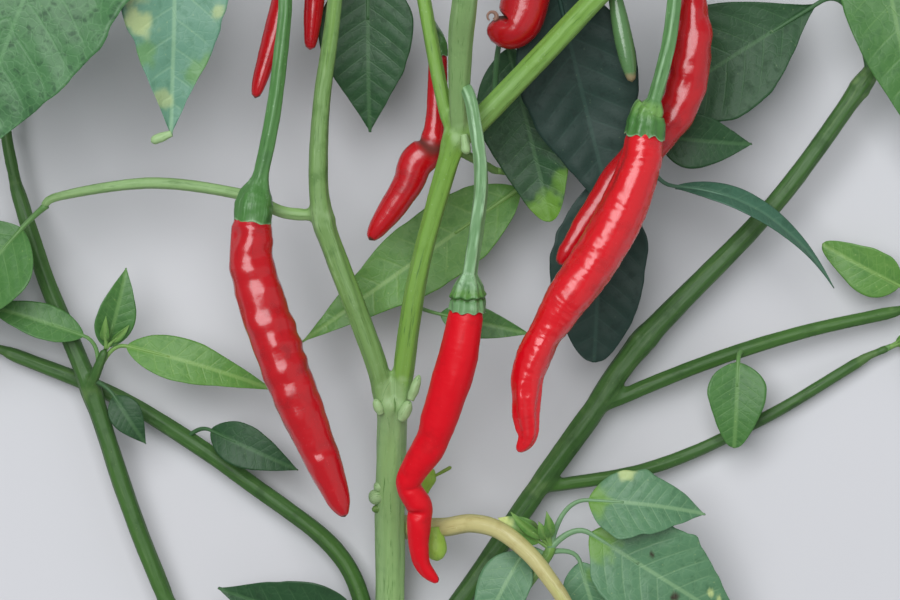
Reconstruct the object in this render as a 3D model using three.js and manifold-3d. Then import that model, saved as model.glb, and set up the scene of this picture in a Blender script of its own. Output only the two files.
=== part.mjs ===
// The fruiting, forked top of a chilli pepper plant, cut through its main stem and laid down.
// Millimetres, +Z up. The stem's cut end is at -Y, the boughs run to +Y, and the pods point to -Y.
import * as THREE from 'three';
import { mergeVertices } from 'three/addons/utils/BufferGeometryUtils.js';
import Module from 'manifold-3d';

const wasm = await Module();
wasm.setup();

// Driving dimensions
const JOINT_GAP = 0.3;          // every limb, stalk and petiole stops this far from what bears it
const POD_LEVEL = 45;           // height of the plane in which the pods hang
const SIGHT_LENGTH = 1100;      // the points below line up when seen from this far over that plane

// Limbs, stalks and pods: rings of faces along a centre line
const STEM_SIDES = 10;
const TWIG_SIDES = 8;
const SHOOT_SIDES = 6;
const POD_SIDES = 11;
const STALK_SIDES = 10;
const LIMB_RING_STEP = 10;      // from ring to ring
const POD_RING_STEP = 3.8;
const STALK_RING_STEP = 8;
const TWIG_RING_STEP = 9;
const LEAST_RING_STEP = 0.7;
const KNOT_REACH = 3.5;         // how far a knot swells its limb to either side
const TIP_ROUNDNESS = 0.85;
const TIP_RINGS = [0.45, 0.15]; // where a pod's rounded tip has rings, as shares of the tip's length
const CALYX_SHAPE = [[0.3, 0.74], [0.6, 0.95], [1, 1]];   // shares of its length and of its radius

// Leaves: a petiole that opens into a blade
const PETIOLE_WIDTH = 1.7;
const PETIOLE_BEND = 0.45;      // share of its length over which a petiole swings in line with its blade
const PETIOLE_ROWS = 3;
const LARGE_LEAF = 18;          // blades wider than this have more faces
const LARGE_BLADE_ROWS = 5;
const SMALL_BLADE_ROWS = 4;
const FOLD = 0.16;              // rise of a blade's margin over its midrib, of the distance between them
const LEAF_THICKNESS = 0.011;   // of the blade's length
const THINNEST_LEAF = 0.6;
const BLADE_ENDS = 0.9;         // width left at a blade's base and tip
const BROADEST = 0.72;          // below 1, a blade is broadest nearer its base than its tip
const TIP_SLIMMING = 0.18;      // share of its width that a blade loses towards its tip

// How the leaves of a crown wind up their twig
const GOLDEN_ANGLE = 137.5 * Math.PI / 180;
const LOWEST_LEAF = 0.3;        // share of the twig below the first leaf
const WINDING_SPAN = 0.65;      // share of the twig between the first leaf and the last
const SHRINKING = 0.45;         // how much smaller a leaf at the twig's end is
const LEAF_RISE = 0.35;
const LEAF_SWING = 0.55;        // how far leaves swing up and down as they wind
const CROWN_PETIOLE = 9;
const TIP_SAG = 0.15;           // of the leaf's length
const CROWN_ARCH = 0.1;         // of the leaf's length
const FACE_TURN = 0.2;

const STALK_COLOUR = 0x6da050;
const STEM_ROUGHNESS = 0.6;
const STALK_ROUGHNESS = 0.55;
const LEAF_ROUGHNESS = 0.55;
const POD_ROUGHNESS = 0.25;

// Limbs: the centre line runs through points given as across, along and height. The radii are evenly
// spaced along it, and a knot swells it at a share of its length.
const LIMBS = [
  { name: 'main_stem', bears: [], sides: STEM_SIDES, colour: 0x86ad6a,
    radii: [3.8, 3.7], knots: [[0.97, 0.85]],
    path: [[-16, -104, 4], [-15, -75, 10], [-15, -47.5, 19], [-14.1, -22.5, 31.5]] },
  { name: 'left_bough', bears: ['main_stem'], sides: STEM_SIDES, colour: 0x7fae70,
    radii: [2.7, 2.7, 2.05, 1.7], knots: [[0.38, 0.45]],
    path: [[-16.5, -25, 31], [-18.75, -15, 33], [-28.75, 11.25, 36.5], [-32, 21.25, 38], [-33, 32.5, 39],
      [-32, 50, 40], [-29.25, 70, 41], [-28, 85, 42], [-27.5, 100, 42]] },
  { name: 'right_bough', bears: ['main_stem', 'left_bough'], sides: STEM_SIDES, colour: 0x8aab4e,
    radii: [2.7, 2.65, 2.5, 2.8], knots: [[0.96, 1]],
    path: [[-12.6, -25, 31], [-9.5, -2.5, 37], [-6.5, 12.5, 40.5], [-0.25, 35, 45.5], [3, 43.5, 47]] },
  { name: 'fork_left_twig', bears: ['right_bough'], sides: TWIG_SIDES, colour: 0x8fb35a,
    radii: [1.9, 1.7],
    path: [[1, 41, 46.5], [-1.75, 50, 47.5], [-6.5, 75, 49], [-8, 86, 48]] },
  { name: 'fork_centre_twig', bears: ['right_bough', 'fork_left_twig'], sides: STEM_SIDES, colour: 0x86b48a,
    radii: [2.4, 2.8, 3.25, 2.6],
    path: [[2.5, 42.5, 48], [2.3, 52.5, 54], [2.75, 65, 63], [3.75, 75, 72], [5, 87.5, 80]] },
  { name: 'fork_right_twig', bears: ['right_bough', 'fork_centre_twig'], sides: STEM_SIDES,
    colour: 0x86b255, radii: [2.9, 2.75, 2.2],
    path: [[4, 41.5, 47], [22.5, 60.5, 50], [35, 73.75, 51], [47.5, 86.25, 50], [60, 97.5, 47],
      [68, 103, 45]] },
  { name: 'back_right_bough', bears: ['main_stem'], sides: TWIG_SIDES, colour: 0x4c7a35,
    radii: [2.8, 2.7, 3, 2.5, 2.35], knots: [[0.54, 0.45], [0.97, 0.45]],
    path: [[-13, -95, 6.2], [2.75, -75, 7.5], [20, -50, 9], [35, -28.75, 10], [48, -10.5, 11],
      [81, 24, 13], [106, 58, 14.5]] },
  { name: 'back_left_bough', bears: ['main_stem'], sides: TWIG_SIDES, colour: 0x5d8a4a,
    radii: [2.4, 2.25, 2.15, 1.8],
    path: [[-17.5, -94, 6.4], [-26, -66, 6.8], [-47.5, -47.5, 6.5], [-80, -26, 6.2],
      [-112, -12.5, 5.6]] },
  { name: 'far_left_foot', bears: ['main_stem', 'back_left_bough'], sides: TWIG_SIDES, colour: 0x5a8648,
    radii: [2.3, 2.3],
    path: [[-18, -100, 5], [-38, -103, 5], [-58, -92, 7], [-71, -75, 9]] },
  { name: 'far_left_bough', bears: ['far_left_foot'], sides: TWIG_SIDES, colour: 0x5a8648,
    radii: [2.3, 2.35, 2.3, 1.9], knots: [[0.51, 0.45]],
    path: [[-70.2, -77, 8.8], [-80, -52, 11], [-90, -22, 12.5], [-101, 5, 12], [-109, 30, 11]] },
  { name: 'back_right_side_twig', bears: ['back_right_bough'], sides: TWIG_SIDES, colour: 0x6f9a5e,
    radii: [2, 1.85, 1.6],
    path: [[36, -27, 10], [62.5, -16.25, 8.5], [87.5, -8.25, 7.5], [113, -2.5, 6.5]] },
  { name: 'back_right_low_twig', bears: ['back_right_bough'], sides: TWIG_SIDES, colour: 0x58804c,
    radii: [1.8, 1.65, 1.4],
    path: [[22, -47, 9], [50, -42, 6], [77.5, -30, 4.5], [105, -13.75, 3.6]] },
];

// Fruits: a stalk that ends in a calyx of the given length and radius, and a pod with a rounded tip
const FRUITS = [
  { name: 'centre', bears: ['fork_centre_twig'], sides: POD_SIDES, colour: 0xc8101e,
    stalk: { radii: [1.5, 1.82], calyx: [9.5, 4.7],
      path: [[3.2, 53, 56], [6, 47, 57], [7.5, 30, 57], [5, 7, 53.2], [4.25, -2.75, 51.6]] },
    pod: { radii: [4.3, 4.7, 4.75, 4.3, 3.95, 3.05, 3.15, 2.4, 1.8], tip: 8,
      path: [[4.15, -3.3, 51.45], [2.4, -12.5, 50], [0.25, -21, 48], [-2.5, -29.25, 45.5],
        [-4, -35, 43.5], [-9.6, -43.25, 40.5], [-10.4, -46.75, 39], [-7.4, -52, 37.4],
        [-7.2, -62.75, 34.5], [-6.75, -66.75, 33.5], [-3.75, -71.25, 32.5]] } },
  { name: 'right', bears: ['fork_right_twig'], sides: POD_SIDES, colour: 0xc8101e,
    stalk: { radii: [1.6, 1.81], calyx: [9.5, 4.9],
      path: [[55.5, 94, 48.5], [56.6, 85, 53], [55, 65.5, 54], [51, 49.5, 53], [49.6, 46.6, 52.7],
        [48.6, 41, 52.2]] },
    pod: { radii: [4.8, 5.5, 5.9, 6.2, 5.7, 4.5, 4.25, 3.15, 2.6], tip: 8,
      path: [[48.5, 40.6, 52.2], [47.6, 34.5, 52], [45, 27, 52], [40.75, 17.75, 51.5], [35, 8.25, 51],
        [30.75, 2.25, 51], [27.5, -2.25, 50.5], [21.5, -13.5, 49.5], [19.4, -19.6, 49],
        [19, -25.75, 48.5], [19.25, -34.5, 47.5], [17.25, -37.5, 47]] } },
  { name: 'left', bears: ['left_bough'], sides: POD_SIDES, colour: 0xb80d1a,
    stalk: { radii: [1.6, 1.9], calyx: [13, 4.85],
      path: [[-28.5, 86, 43], [-36, 85.5, 45], [-40.8, 79, 46], [-41.5, 70, 46.5], [-44, 48, 46],
        [-46.8, 33, 45.2], [-48.7, 25, 45], [-49.4, 19.25, 45]] },
    pod: { radii: [4.7, 5.4, 6, 6.1, 6, 5.8, 5.25, 4.4], tip: 8,
      path: [[-49.5, 18.8, 45], [-49.75, 12.5, 45], [-48.25, 3.75, 45], [-42, -15, 45],
        [-34.5, -32.5, 44], [-26.25, -53.75, 41.3]] } },
  { name: 'right_rear', bears: ['fork_right_twig'], sides: STEM_SIDES, colour: 0xb50f1e,
    stalk: { radii: [1.4, 1.58], calyx: [7.5, 3.4],
      path: [[64, 100, 46], [63.2, 92, 43.5], [61.2, 78, 43]] },
    pod: { radii: [3, 4.5, 4.4, 4.4, 3.6], tip: 8,
      path: [[61.1, 77.6, 43], [60.75, 73.75, 43], [61, 65.5, 43], [56.75, 47.5, 41.8],
        [43.75, 27.5, 40.5], [35, 18.75, 40.5], [27.25, 9, 40.5]] } },
  { name: 'top_hooked', bears: ['fork_right_twig'], sides: STEM_SIDES, colour: 0xb80d1a,
    stalk: { radii: [1.4, 1.62], calyx: [10.5, 4.4],
      path: [[38, 77, 51], [35.5, 91, 52.5], [29.5, 101, 51], [24, 99.5, 47.6], [22.4, 96, 46.8],
        [21.3, 90.8, 46.5]] },
    pod: { radii: [4.2, 5.1, 5.4, 5.5, 5.1, 3.8], tip: 5,
      path: [[21.2, 90.2, 46.45], [18.9, 73.5, 46], [16.6, 68.4, 46], [13.4, 67.6, 46],
        [11.4, 70.9, 46]] } },
  { name: 'back_kinked', bears: ['fork_left_twig'], sides: STEM_SIDES, colour: 0xa90f1e,
    stalk: { radii: [1.3, 1.47], calyx: [7, 2.6],
      path: [[-5.2, 69, 48.4], [-4.3, 68, 42], [-3.3, 65.4, 38], [-3, 61.3, 37]] },
    pod: { radii: [2.3, 2.4, 2.55, 4.15, 4.05, 3.3, 3.1], tip: 7,
      path: [[-3, 60.7, 36.9], [-3.25, 52.5, 36], [-4.9, 39.5, 36], [-10.25, 31.25, 36],
        [-20.5, 15, 34.5]] } },
  { name: 'back_left_outer', bears: ['left_bough'], sides: TWIG_SIDES, colour: 0x8d0f1b,
    stalk: { radii: [1.2, 1.34], calyx: [6, 2.5],
      path: [[-28.8, 78, 41], [-33.5, 83.5, 37.6], [-38.2, 86.5, 34.8], [-40, 85, 32.4],
        [-41.1, 82.6, 31.2]] },
    pod: { radii: [2.2, 2.65, 2.65, 2.2, 2.05], tip: 8,
      path: [[-41.5, 81.2, 30.7], [-42.5, 72.5, 30], [-48.75, 50.5, 30]] } },
  { name: 'back_left_inner', bears: ['left_bough'], sides: TWIG_SIDES, colour: 0x8d0f1b,
    stalk: { radii: [1.1, 1.2], calyx: [6.5, 2.4],
      path: [[-27.6, 95, 41.5], [-29, 99.5, 37.5], [-32, 99, 35], [-32.8, 94.5, 34],
        [-32.8, 88, 33.2]] },
    pod: { radii: [2.2, 2.55, 2.7, 2.5, 2.15, 2.3], tip: 8,
      path: [[-32.8, 87.5, 33.2], [-35, 62.5, 32]] } },
  { name: 'green', bears: ['fork_right_twig'], sides: TWIG_SIDES, colour: 0x6a9350,
    stalk: { radii: [1, 1.06], calyx: [4, 2],
      path: [[41.5, 80.5, 50.5], [40.2, 80.6, 46.8], [40.7, 78.6, 44.8], [41.2, 76.2, 44.5]] },
    pod: { radii: [1.8, 2.4, 1.8], tip: 7,
      path: [[41.3, 75.7, 44.45], [45.5, 54.5, 44]] } },
];

// Single leaves, and sprays whose leaves are fused on a twig of their own.
// A leaf's petiole starts at its root, and its blade lies between its base and its tip.
const UP = [0, 0, 1];
const SPRAYS = [
  { name: 'yellowed_side_stalk', bears: ['main_stem'], sides: STEM_SIDES, colour: 0xd8cf8e,
    twig: { radii: [2.4, 2.3, 1.95, 1.2], path: [[-13, -56.5, 17], [-1.25, -56.75, 24], [5.5, -55.9, 28],
      [12.5, -57.75, 30.5], [19.75, -63.5, 33], [25, -70, 34.5], [29, -76.25, 34], [33.5, -86, 30],
      [35.5, -92, 26]] },
    leaves: [
      { root: [35, -90, 27.5], base: [36.5, -95, 24], tip: [44, -116, 8],
        width: 13, arch: 3, face: [0.3, 0.5, 1] }] },
  { name: 'low_shoot', bears: ['main_stem', 'back_right_bough'], sides: TWIG_SIDES, colour: 0x4f8350,
    twig: { radii: [1.8, 1.3], path: [[-13, -99, 6], [3, -88, 15], [16, -75, 22], [24, -64.5, 26],
      [25.5, -61, 27]] },
    leaves: [
      { root: [25, -62, 27], base: [22.5, -60.5, 26.5], tip: [12.5, -54, 26],
        width: 8, arch: 1.5, face: [-0.2, 0.3, 1] },
      { root: [25, -62, 27], base: [33.25, -51.75, 31], tip: [63, -56, 31],
        width: 15, arch: 2, face: [0, 0.35, 1] },
      { root: [25, -62, 27], base: [35, -58.3, 27], tip: [73, -83, 18],
        width: 27, arch: 4, face: [0.2, -0.1, 1] },
      { root: [25, -63, 26.5], base: [31.3, -66.5, 24.5], tip: [39, -90, 15],
        width: 15, arch: 3, face: [-0.2, 0, 1] },
      { root: [24, -64, 26], base: [18.5, -63, 24], tip: [6.5, -86, 23],
        width: 15, arch: 2, face: [-0.2, 0.2, 1] }] },
  { name: 'foot_leaf', bears: ['main_stem', 'back_left_bough'], colour: 0x3f7a3c,
    leaves: [
      { root: [-15.5, -84, 8], base: [-23, -80, 14.5], tip: [-58, -72, 12.5],
        width: 19, arch: 4, face: [0, -0.3, 1] }] },
  { name: 'left_axil_leaf', bears: ['back_left_bough'], colour: 0x3c6c48,
    leaves: [
      { root: [-67, -36, 6.3], base: [-60, -32.5, 10.5], tip: [-38, -42.5, 12],
        width: 12, arch: 3, face: UP }] },
  { name: 'left_shoot', bears: ['far_left_bough'], sides: SHOOT_SIDES, colour: 0x4d8a52,
    twig: { radii: [1.5, 1.3, 1], path: [[-90, -22, 14], [-88, -17, 17], [-86, -12, 18.5]] },
    leaves: [
      { root: [-88, -18, 16.5], base: [-86, -12, 18], tip: [-81, 8, 20],
        width: 11, arch: 2, face: [0.3, 0, 1] },
      { root: [-88, -18, 16.5], base: [-91.5, -9, 18], tip: [-118, -1, 17],
        width: 10, arch: 2, face: [0, 0.3, 1] },
      { root: [-88, -18, 16.5], base: [-81, -11.5, 18], tip: [-44, -22.5, 15],
        width: 12, arch: 4, face: [0, 0.2, 1] },
      { root: [-89, -20, 15.5], base: [-84, -24, 15.5], tip: [-76, -36, 14],
        width: 9, arch: 2, face: UP }] },
  { name: 'arched_leaf', bears: ['left_bough'], sides: TWIG_SIDES, colour: 0x8fae7c,
    twig: { radii: [1.6, 1.5, 1.45, 1.1], path: [[-32, 21.25, 38], [-41.75, 22, 36], [-52.5, 26.5, 33.5],
      [-75, 29.25, 30], [-97.5, 26, 27], [-102, 23, 26.2]] },
    leaves: [
      { root: [-101, 23.7, 26.3], base: [-107, 18, 25], tip: [-125, -8, 21],
        width: 26, arch: 3, face: [-0.3, 0.2, 1] }] },
  { name: 'upper_back_leaf', bears: ['left_bough'], colour: 0x6a9277,
    leaves: [
      { root: [-28.1, 82, 41.8], base: [-20.5, 82, 27], tip: [-20, 42, 22],
        width: 26, arch: 2, face: [-0.1, 0, 1] }] },
  { name: 'bright_back_leaf', bears: ['right_bough'], sides: SHOOT_SIDES, colour: 0x4f8a45,
    twig: { radii: [1.2, 1], path: [[1.8, 37.5, 44.5], [12, 32, 25]] },
    leaves: [
      { root: [11.4, 32.4, 26], base: [17.5, 28, 16.8], tip: [-37, -10.5, 17],
        width: 21, arch: 1.5, face: [0, 0.15, 1] }] },
  { name: 'small_back_leaf', bears: ['right_bough'], colour: 0x55904f,
    leaves: [
      { root: [-9.4, -1, 37], base: [-2.5, -3.5, 29], tip: [20, -8.5, 30],
        width: 9, arch: 1.5, face: UP }] },
  { name: 'dark_rear_leaf', bears: ['fork_right_twig'], colour: 0x2f5a38,
    leaves: [
      { root: [35, 73.75, 51], base: [26.5, 79, 41.5], tip: [41, 20, 31],
        width: 33, arch: -2.5, face: [0, 0.1, 1] }] },
  { name: 'bright_rear_leaf', bears: ['fork_right_twig'], colour: 0x3f7a2c,
    leaves: [
      { root: [11, 49, 48.2], base: [15.5, 61, 31], tip: [21.5, 20, 26.5],
        width: 20, arch: -1, face: [-0.2, 0, 1] }] },
  { name: 'rear_spray', bears: ['fork_right_twig'], sides: TWIG_SIDES, colour: 0x3a6a4c,
    twig: { radii: [1.3, 1], path: [[50.5, 89, 49.3], [52.5, 80, 35], [51.5, 62, 29.5],
      [48.8, 33, 25.5]] },
    leaves: [
      { root: [49.2, 38, 26.3], base: [38.5, 33, 25], tip: [36, -15.5, 19],
        width: 27, arch: 2, face: [0, 0.1, 1] },
      { root: [49.8, 45, 27.3], base: [52, 41, 27], tip: [75.5, 39, 25],
        width: 15, arch: 2, face: [0, -0.2, 1] },
      { root: [49.1, 36, 26], base: [56, 28.5, 26], tip: [96, 3, 22],
        width: 7, arch: 9, face: [0.5, 1, 0.6] }] },
  { name: 'back_crown', bears: ['back_right_bough'], sides: SHOOT_SIDES, colour: 0x5b8f6c,
    twig: { radii: [2.2, 1.1], path: [[104.5, 55, 14.6], [108.5, 67, 14], [112, 82, 11.5],
      [113, 96, 8.5]] },
    leaves: [
      { root: [108, 65, 14], base: [92.5, 74.5, 20], tip: [50.5, 46.5, 19],
        width: 35, arch: 2, face: [-0.1, 0, 1] },
      { root: [112.3, 84, 11.2], base: [108, 96, 15], tip: [119, 42, 22],
        width: 27, arch: 7, face: [-0.1, 0.1, 1] },
      { root: [112.7, 92, 9.4], base: [113.5, 101, 7.5], tip: [119, 128, 0.35],
        width: 22, arch: 2, face: [0.2, 0.2, 1] },
      { root: [112, 82, 11.5], base: [118, 88, 10], tip: [137, 96, 3],
        width: 15, arch: 3, face: [0.2, 0, 1] }] },
  { name: 'side_twig_leaf', bears: ['back_right_side_twig'], colour: 0x5a9a4e,
    leaves: [
      { root: [73, -12.7, 8], base: [72, -15.5, 13], tip: [71, -37, 11.5],
        width: 16, arch: 2, face: [0, 0.2, 1] }] },
  { name: 'side_twig_end', bears: ['back_right_side_twig'], sides: SHOOT_SIDES, colour: 0x5a9a4e,
    twig: { radii: [1.3, 1.2, 1.1, 0.9], path: [[112, -2.7, 6.5], [121, 0.2, 6]] },
    leaves: [
      { root: [115, -2, 6.4], base: [112.5, 3.5, 9], tip: [93, 14, 9.5],
        width: 13, arch: 2, face: [0, -0.2, 1] },
      { root: [120, -0.2, 6.1], base: [125, 3, 5.8], tip: [143, 17, 1.5],
        width: 16, arch: 3, face: UP }] },
  { name: 'low_twig_end', bears: ['back_right_low_twig'], sides: SHOOT_SIDES, colour: 0x4a7a48,
    twig: { radii: [1.2, 1.1, 0.9], path: [[104, -14.2, 3.7], [110, -11.8, 3.4]] },
    leaves: [
      { root: [109, -12.2, 3.4], base: [115, -11.5, 3.2], tip: [136, -23, 1],
        width: 16, arch: 2, face: UP }] },
  { name: 'far_left_end', bears: ['far_left_bough'], sides: SHOOT_SIDES, colour: 0x4d7f4a,
    twig: { radii: [1.7, 1.5, 1.2], path: [[-108.6, 29, 11], [-111, 42, 10.5], [-111, 54, 9]] },
    leaves: [
      { root: [-111, 42, 10.5], base: [-118, 47, 8.5], tip: [-138, 62, 1],
        width: 17, arch: 3, face: [-0.1, 0.1, 1] },
      { root: [-111, 52, 9.3], base: [-110, 59, 8], tip: [-104, 84, 0.35],
        width: 19, arch: 3, face: [0, 0.2, 1] }] },
  { name: 'back_left_end', bears: ['back_left_bough'], sides: SHOOT_SIDES, colour: 0x4a7a48,
    twig: { radii: [1.4, 1], path: [[-111, -12.8, 5.6], [-120, -10, 5]] },
    leaves: [
      { root: [-116, -11.2, 5.2], base: [-122, -15, 4.8], tip: [-134, -34, 1],
        width: 15, arch: 2, face: UP },
      { root: [-119, -10.3, 5], base: [-126, -7, 4.6], tip: [-146, 4, 1],
        width: 14, arch: 2, face: UP }] },
  { name: 'crown_left', bears: ['left_bough'], sides: TWIG_SIDES, colour: 0x5f9a5c,
    twig: { radii: [1.5, 1.35, 1], path: [[-27.6, 99, 42], [-33, 108, 45], [-46, 117, 48],
      [-60, 122, 49]] },
    leaves: [
      { root: [-50, 119, 48.5], base: [-68.5, 107.5, 53], tip: [-72.5, 39.5, 50],
        width: 31, arch: 3, face: [0.15, 0, 1] },
      { root: [-58, 121.5, 49], base: [-96, 113, 57], tip: [-127, 36, 55],
        width: 50, arch: 5, face: [0.1, 0.2, 1] },
      { root: [-60, 122, 49], base: [-66, 127, 49], tip: [-90, 141, 42],
        width: 17, arch: 4, face: [0, 0.2, 1] },
      { root: [-40, 113.5, 47], base: [-40, 123, 44], tip: [-33, 148, 34],
        width: 20, arch: 4, face: [0, 0.2, 1] }] },
];

// Crowns: leaves of the given length and width wind up the twig at the golden angle
const CROWNS = [
  { name: 'crown_fork_left', bears: ['fork_left_twig'], colour: 0x5b9660, count: 4, leaf: 34, width: 15,
    lean: [-0.2, 0.9, -0.35], turn: 0.6,
    twig: { radii: [1.5, 1.3, 0.8], path: [[-7.8, 85, 48], [-9.5, 97, 46], [-12, 116, 40]] } },
  { name: 'crown_centre', bears: ['fork_centre_twig'], colour: 0x63a066, count: 4, leaf: 36, width: 16,
    lean: [0, 0.9, 0.1], turn: 2.2,
    twig: { radii: [2, 0.8], path: [[4.9, 86.5, 79.4], [6, 98, 83], [7, 109, 84], [8, 118, 82]] } },
  { name: 'crown_right', bears: ['fork_right_twig'], colour: 0x568f5b, count: 5, leaf: 40, width: 17,
    lean: [0.45, 0.7, -0.2], turn: 1.2,
    twig: { radii: [1.9, 0.9], path: [[67, 102.3, 45.3], [86, 114, 38], [95, 118, 33]] } },
];

// True place of a point: what lies lower than the pods spreads a little wider than it looks
function place([across, along, height]) {
  const spread = 1 + (POD_LEVEL - height) / SIGHT_LENGTH;
  return new THREE.Vector3(across * spread, along * spread, height);
}

function splineThrough(points) {
  return new THREE.CatmullRomCurve3(points, false, 'catmullrom', 0.5);
}

// Radius at a share of a limb's length, between radii that are evenly spaced along it
function radiusAt(radii, share) {
  return splineThrough(radii.map((radius) => new THREE.Vector3(radius, 0, 0))).getPoint(share).x;
}

function knotAt(knots, share, length) {
  return knots.reduce((sum, [at, swell]) =>
    sum + swell * Math.exp(-(((share - at) * length / KNOT_REACH) ** 2)), 0);
}

function tipFactor(tip, share, length) {
  const left = (1 - share) * length;
  return left < tip ? Math.sqrt(1 - TIP_ROUNDNESS * (1 - left / tip) ** 2) : 1;
}

// The shares of a line's length at which a limb has rings: evenly spaced, and round its knots and tip
function ringShares(length, step, knots, tip) {
  const count = Math.max(1, Math.round(length / step));
  const even = Array.from({ length: count + 1 }, (_, index) => index / count);
  const reach = KNOT_REACH / length;
  const marked = knots.flatMap(([at]) => [at - reach, at, at + reach])
    .concat(TIP_RINGS.map((share) => 1 - share * tip / length))
    .filter((share) => share > 0 && share < 1);
  const apart = LEAST_RING_STEP / length;
  const between = even.slice(1, -1)
    .filter((share) => marked.every((other) => Math.abs(other - share) > apart));
  return [0, ...between, ...marked, 1].sort((one, other) => one - other);
}

// The rings of a limb: each has a centre, a radius, and the directions across and beside the line
function ringsAlong(path, stationsOf) {
  const line = splineThrough(path.map(place));
  const stations = stationsOf(line.getLength());
  let across = new THREE.Vector3(1, 0, 0.01);
  return stations.map(([share, radius]) => {
    const forward = line.getTangentAt(share);
    across = across.clone().addScaledVector(forward, -across.dot(forward)).normalize();
    return { centre: line.getPointAt(share), radius, forward, across, side: across.clone().cross(forward) };
  });
}

function limbRings({ path, radii, knots = [], tip = 0 }, step) {
  return ringsAlong(path, (length) => ringShares(length, step, knots, tip).map((share) =>
    [share, radiusAt(radii, share) * tipFactor(tip, share, length) + knotAt(knots, share, length)]));
}

// A stalk swells at its end into the calyx that caps the pod
function stalkRings({ path, radii, calyx: [calyxLength, calyxRadius] }) {
  return ringsAlong(path, (length) => {
    const bare = 1 - calyxLength / length;
    const stalk = ringShares(length * bare, STALK_RING_STEP, [], 0)
      .map((share) => [share * bare, radiusAt(radii, share)]);
    return stalk.concat(CALYX_SHAPE.map(([share, width]) =>
      [bare + share * (1 - bare), width * calyxRadius]));
  });
}

// A closed tube through the rings, made fatter and longer by the margin
function tube(rings, sides, margin = 0) {
  const last = rings.length - 1;
  const geometry = new THREE.CylinderGeometry(1, 1, 1, sides, last);
  const corners = geometry.getAttribute('position');
  for (let i = 0; i < corners.count; i += 1) {
    const index = Math.round((corners.getY(i) + 0.5) * last);
    const { centre, radius, forward, across, side } = rings[index];
    const lengthened = index === 0 ? -margin : index === last ? margin : 0;
    const corner = centre.clone()
      .addScaledVector(forward, lengthened)
      .addScaledVector(across, corners.getX(i) * (radius + margin))
      .addScaledVector(side, corners.getZ(i) * (radius + margin));
    corners.setXYZ(i, corner.x, corner.y, corner.z);
  }
  return geometry;
}

// Width of a blade at a share of its length: round at the base, drawn out to a point
function outline(share) {
  return Math.sin(Math.PI * share ** BROADEST) * (1 - TIP_SLIMMING * share);
}

// The centre lines of a leaf: its petiole from the twig to the blade's base, and the blade's spine
function linesOf({ root, base, tip, arch, face }) {
  const from = place(base);
  const to = place(tip);
  const middle = from.clone().add(to).multiplyScalar(0.5);
  middle.addScaledVector(new THREE.Vector3(...face).normalize(), 2 * arch);
  const spine = new THREE.QuadraticBezierCurve3(from, middle, to);
  const start = place(root);
  const bend = from.clone().addScaledVector(spine.getTangent(0), -PETIOLE_BEND * start.distanceTo(from));
  return { petiole: new THREE.QuadraticBezierCurve3(start, bend, from), spine };
}

// One leaf: a petiole that opens into a blade, which is bent over its spine and folded along it
function leafShape(leaf) {
  const { petiole, spine } = linesOf(leaf);
  const large = leaf.width > LARGE_LEAF;
  const bladeRows = large ? LARGE_BLADE_ROWS : SMALL_BLADE_ROWS;
  const rows = PETIOLE_ROWS + bladeRows;
  const thickness = Math.max(THINNEST_LEAF, LEAF_THICKNESS * spine.getLength());
  const face = new THREE.Vector3(...leaf.face);
  const geometry = new THREE.BoxGeometry(1, 1, 1, large ? 4 : 2, rows, 1);
  const corners = geometry.getAttribute('position');
  for (let i = 0; i < corners.count; i += 1) {
    const row = Math.round((corners.getY(i) + 0.5) * rows);
    const onBlade = row > PETIOLE_ROWS;
    const share = onBlade ? (row - PETIOLE_ROWS) / bladeRows : row / PETIOLE_ROWS;
    const line = onBlade ? spine : petiole;
    const forward = line.getTangent(share);
    const side = forward.clone().cross(face).normalize();
    const upward = side.clone().cross(forward);
    const width = onBlade ? Math.max(BLADE_ENDS, leaf.width * outline(share)) : PETIOLE_WIDTH;
    const offset = corners.getX(i) * width;
    const fold = onBlade ? FOLD * Math.abs(offset) : 0;
    const lift = corners.getZ(i) * (onBlade ? thickness : PETIOLE_WIDTH) + fold;
    const corner = line.getPoint(share).addScaledVector(side, offset).addScaledVector(upward, lift);
    corners.setXYZ(i, corner.x, corner.y, corner.z);
  }
  return geometry;
}

function toSolid(geometry) {
  const bare = geometry.clone();
  bare.deleteAttribute('normal');
  bare.deleteAttribute('uv');
  const welded = mergeVertices(bare);
  return new wasm.Manifold(new wasm.Mesh({
    numProp: 3,
    vertProperties: new Float32Array(welded.getAttribute('position').array),
    triVerts: new Uint32Array(welded.getIndex().array),
  }));
}

function toGeometry(solid) {
  const mesh = solid.getMesh();
  const geometry = new THREE.BufferGeometry();
  geometry.setAttribute('position', new THREE.BufferAttribute(new Float32Array(mesh.vertProperties), 3));
  geometry.setIndex(new THREE.BufferAttribute(new Uint32Array(mesh.triVerts), 1));
  geometry.computeVertexNormals();
  return geometry;
}

// What is left of a solid once its neighbours' clearances are taken off: the largest piece
function cutClear(solid, neighbours) {
  let rest = solid;
  for (const name of neighbours) {
    rest = rest.subtract(clearances.get(name));
  }
  const pieces = rest.decompose();
  pieces.sort((one, other) => other.volume() - one.volume());
  return pieces[0];
}

function addMesh(name, solid, neighbours, colour, roughness) {
  const material = new THREE.MeshStandardMaterial({ color: colour, roughness, metalness: 0 });
  const mesh = new THREE.Mesh(toGeometry(cutClear(solid, neighbours)), material);
  mesh.name = name;
  branch.add(mesh);
}

function addLimb(row) {
  const rings = limbRings(row, LIMB_RING_STEP);
  clearances.set(row.name, toSolid(tube(rings, row.sides, JOINT_GAP)));
  addMesh(row.name, toSolid(tube(rings, row.sides)), row.bears, row.colour, STEM_ROUGHNESS);
}

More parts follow.
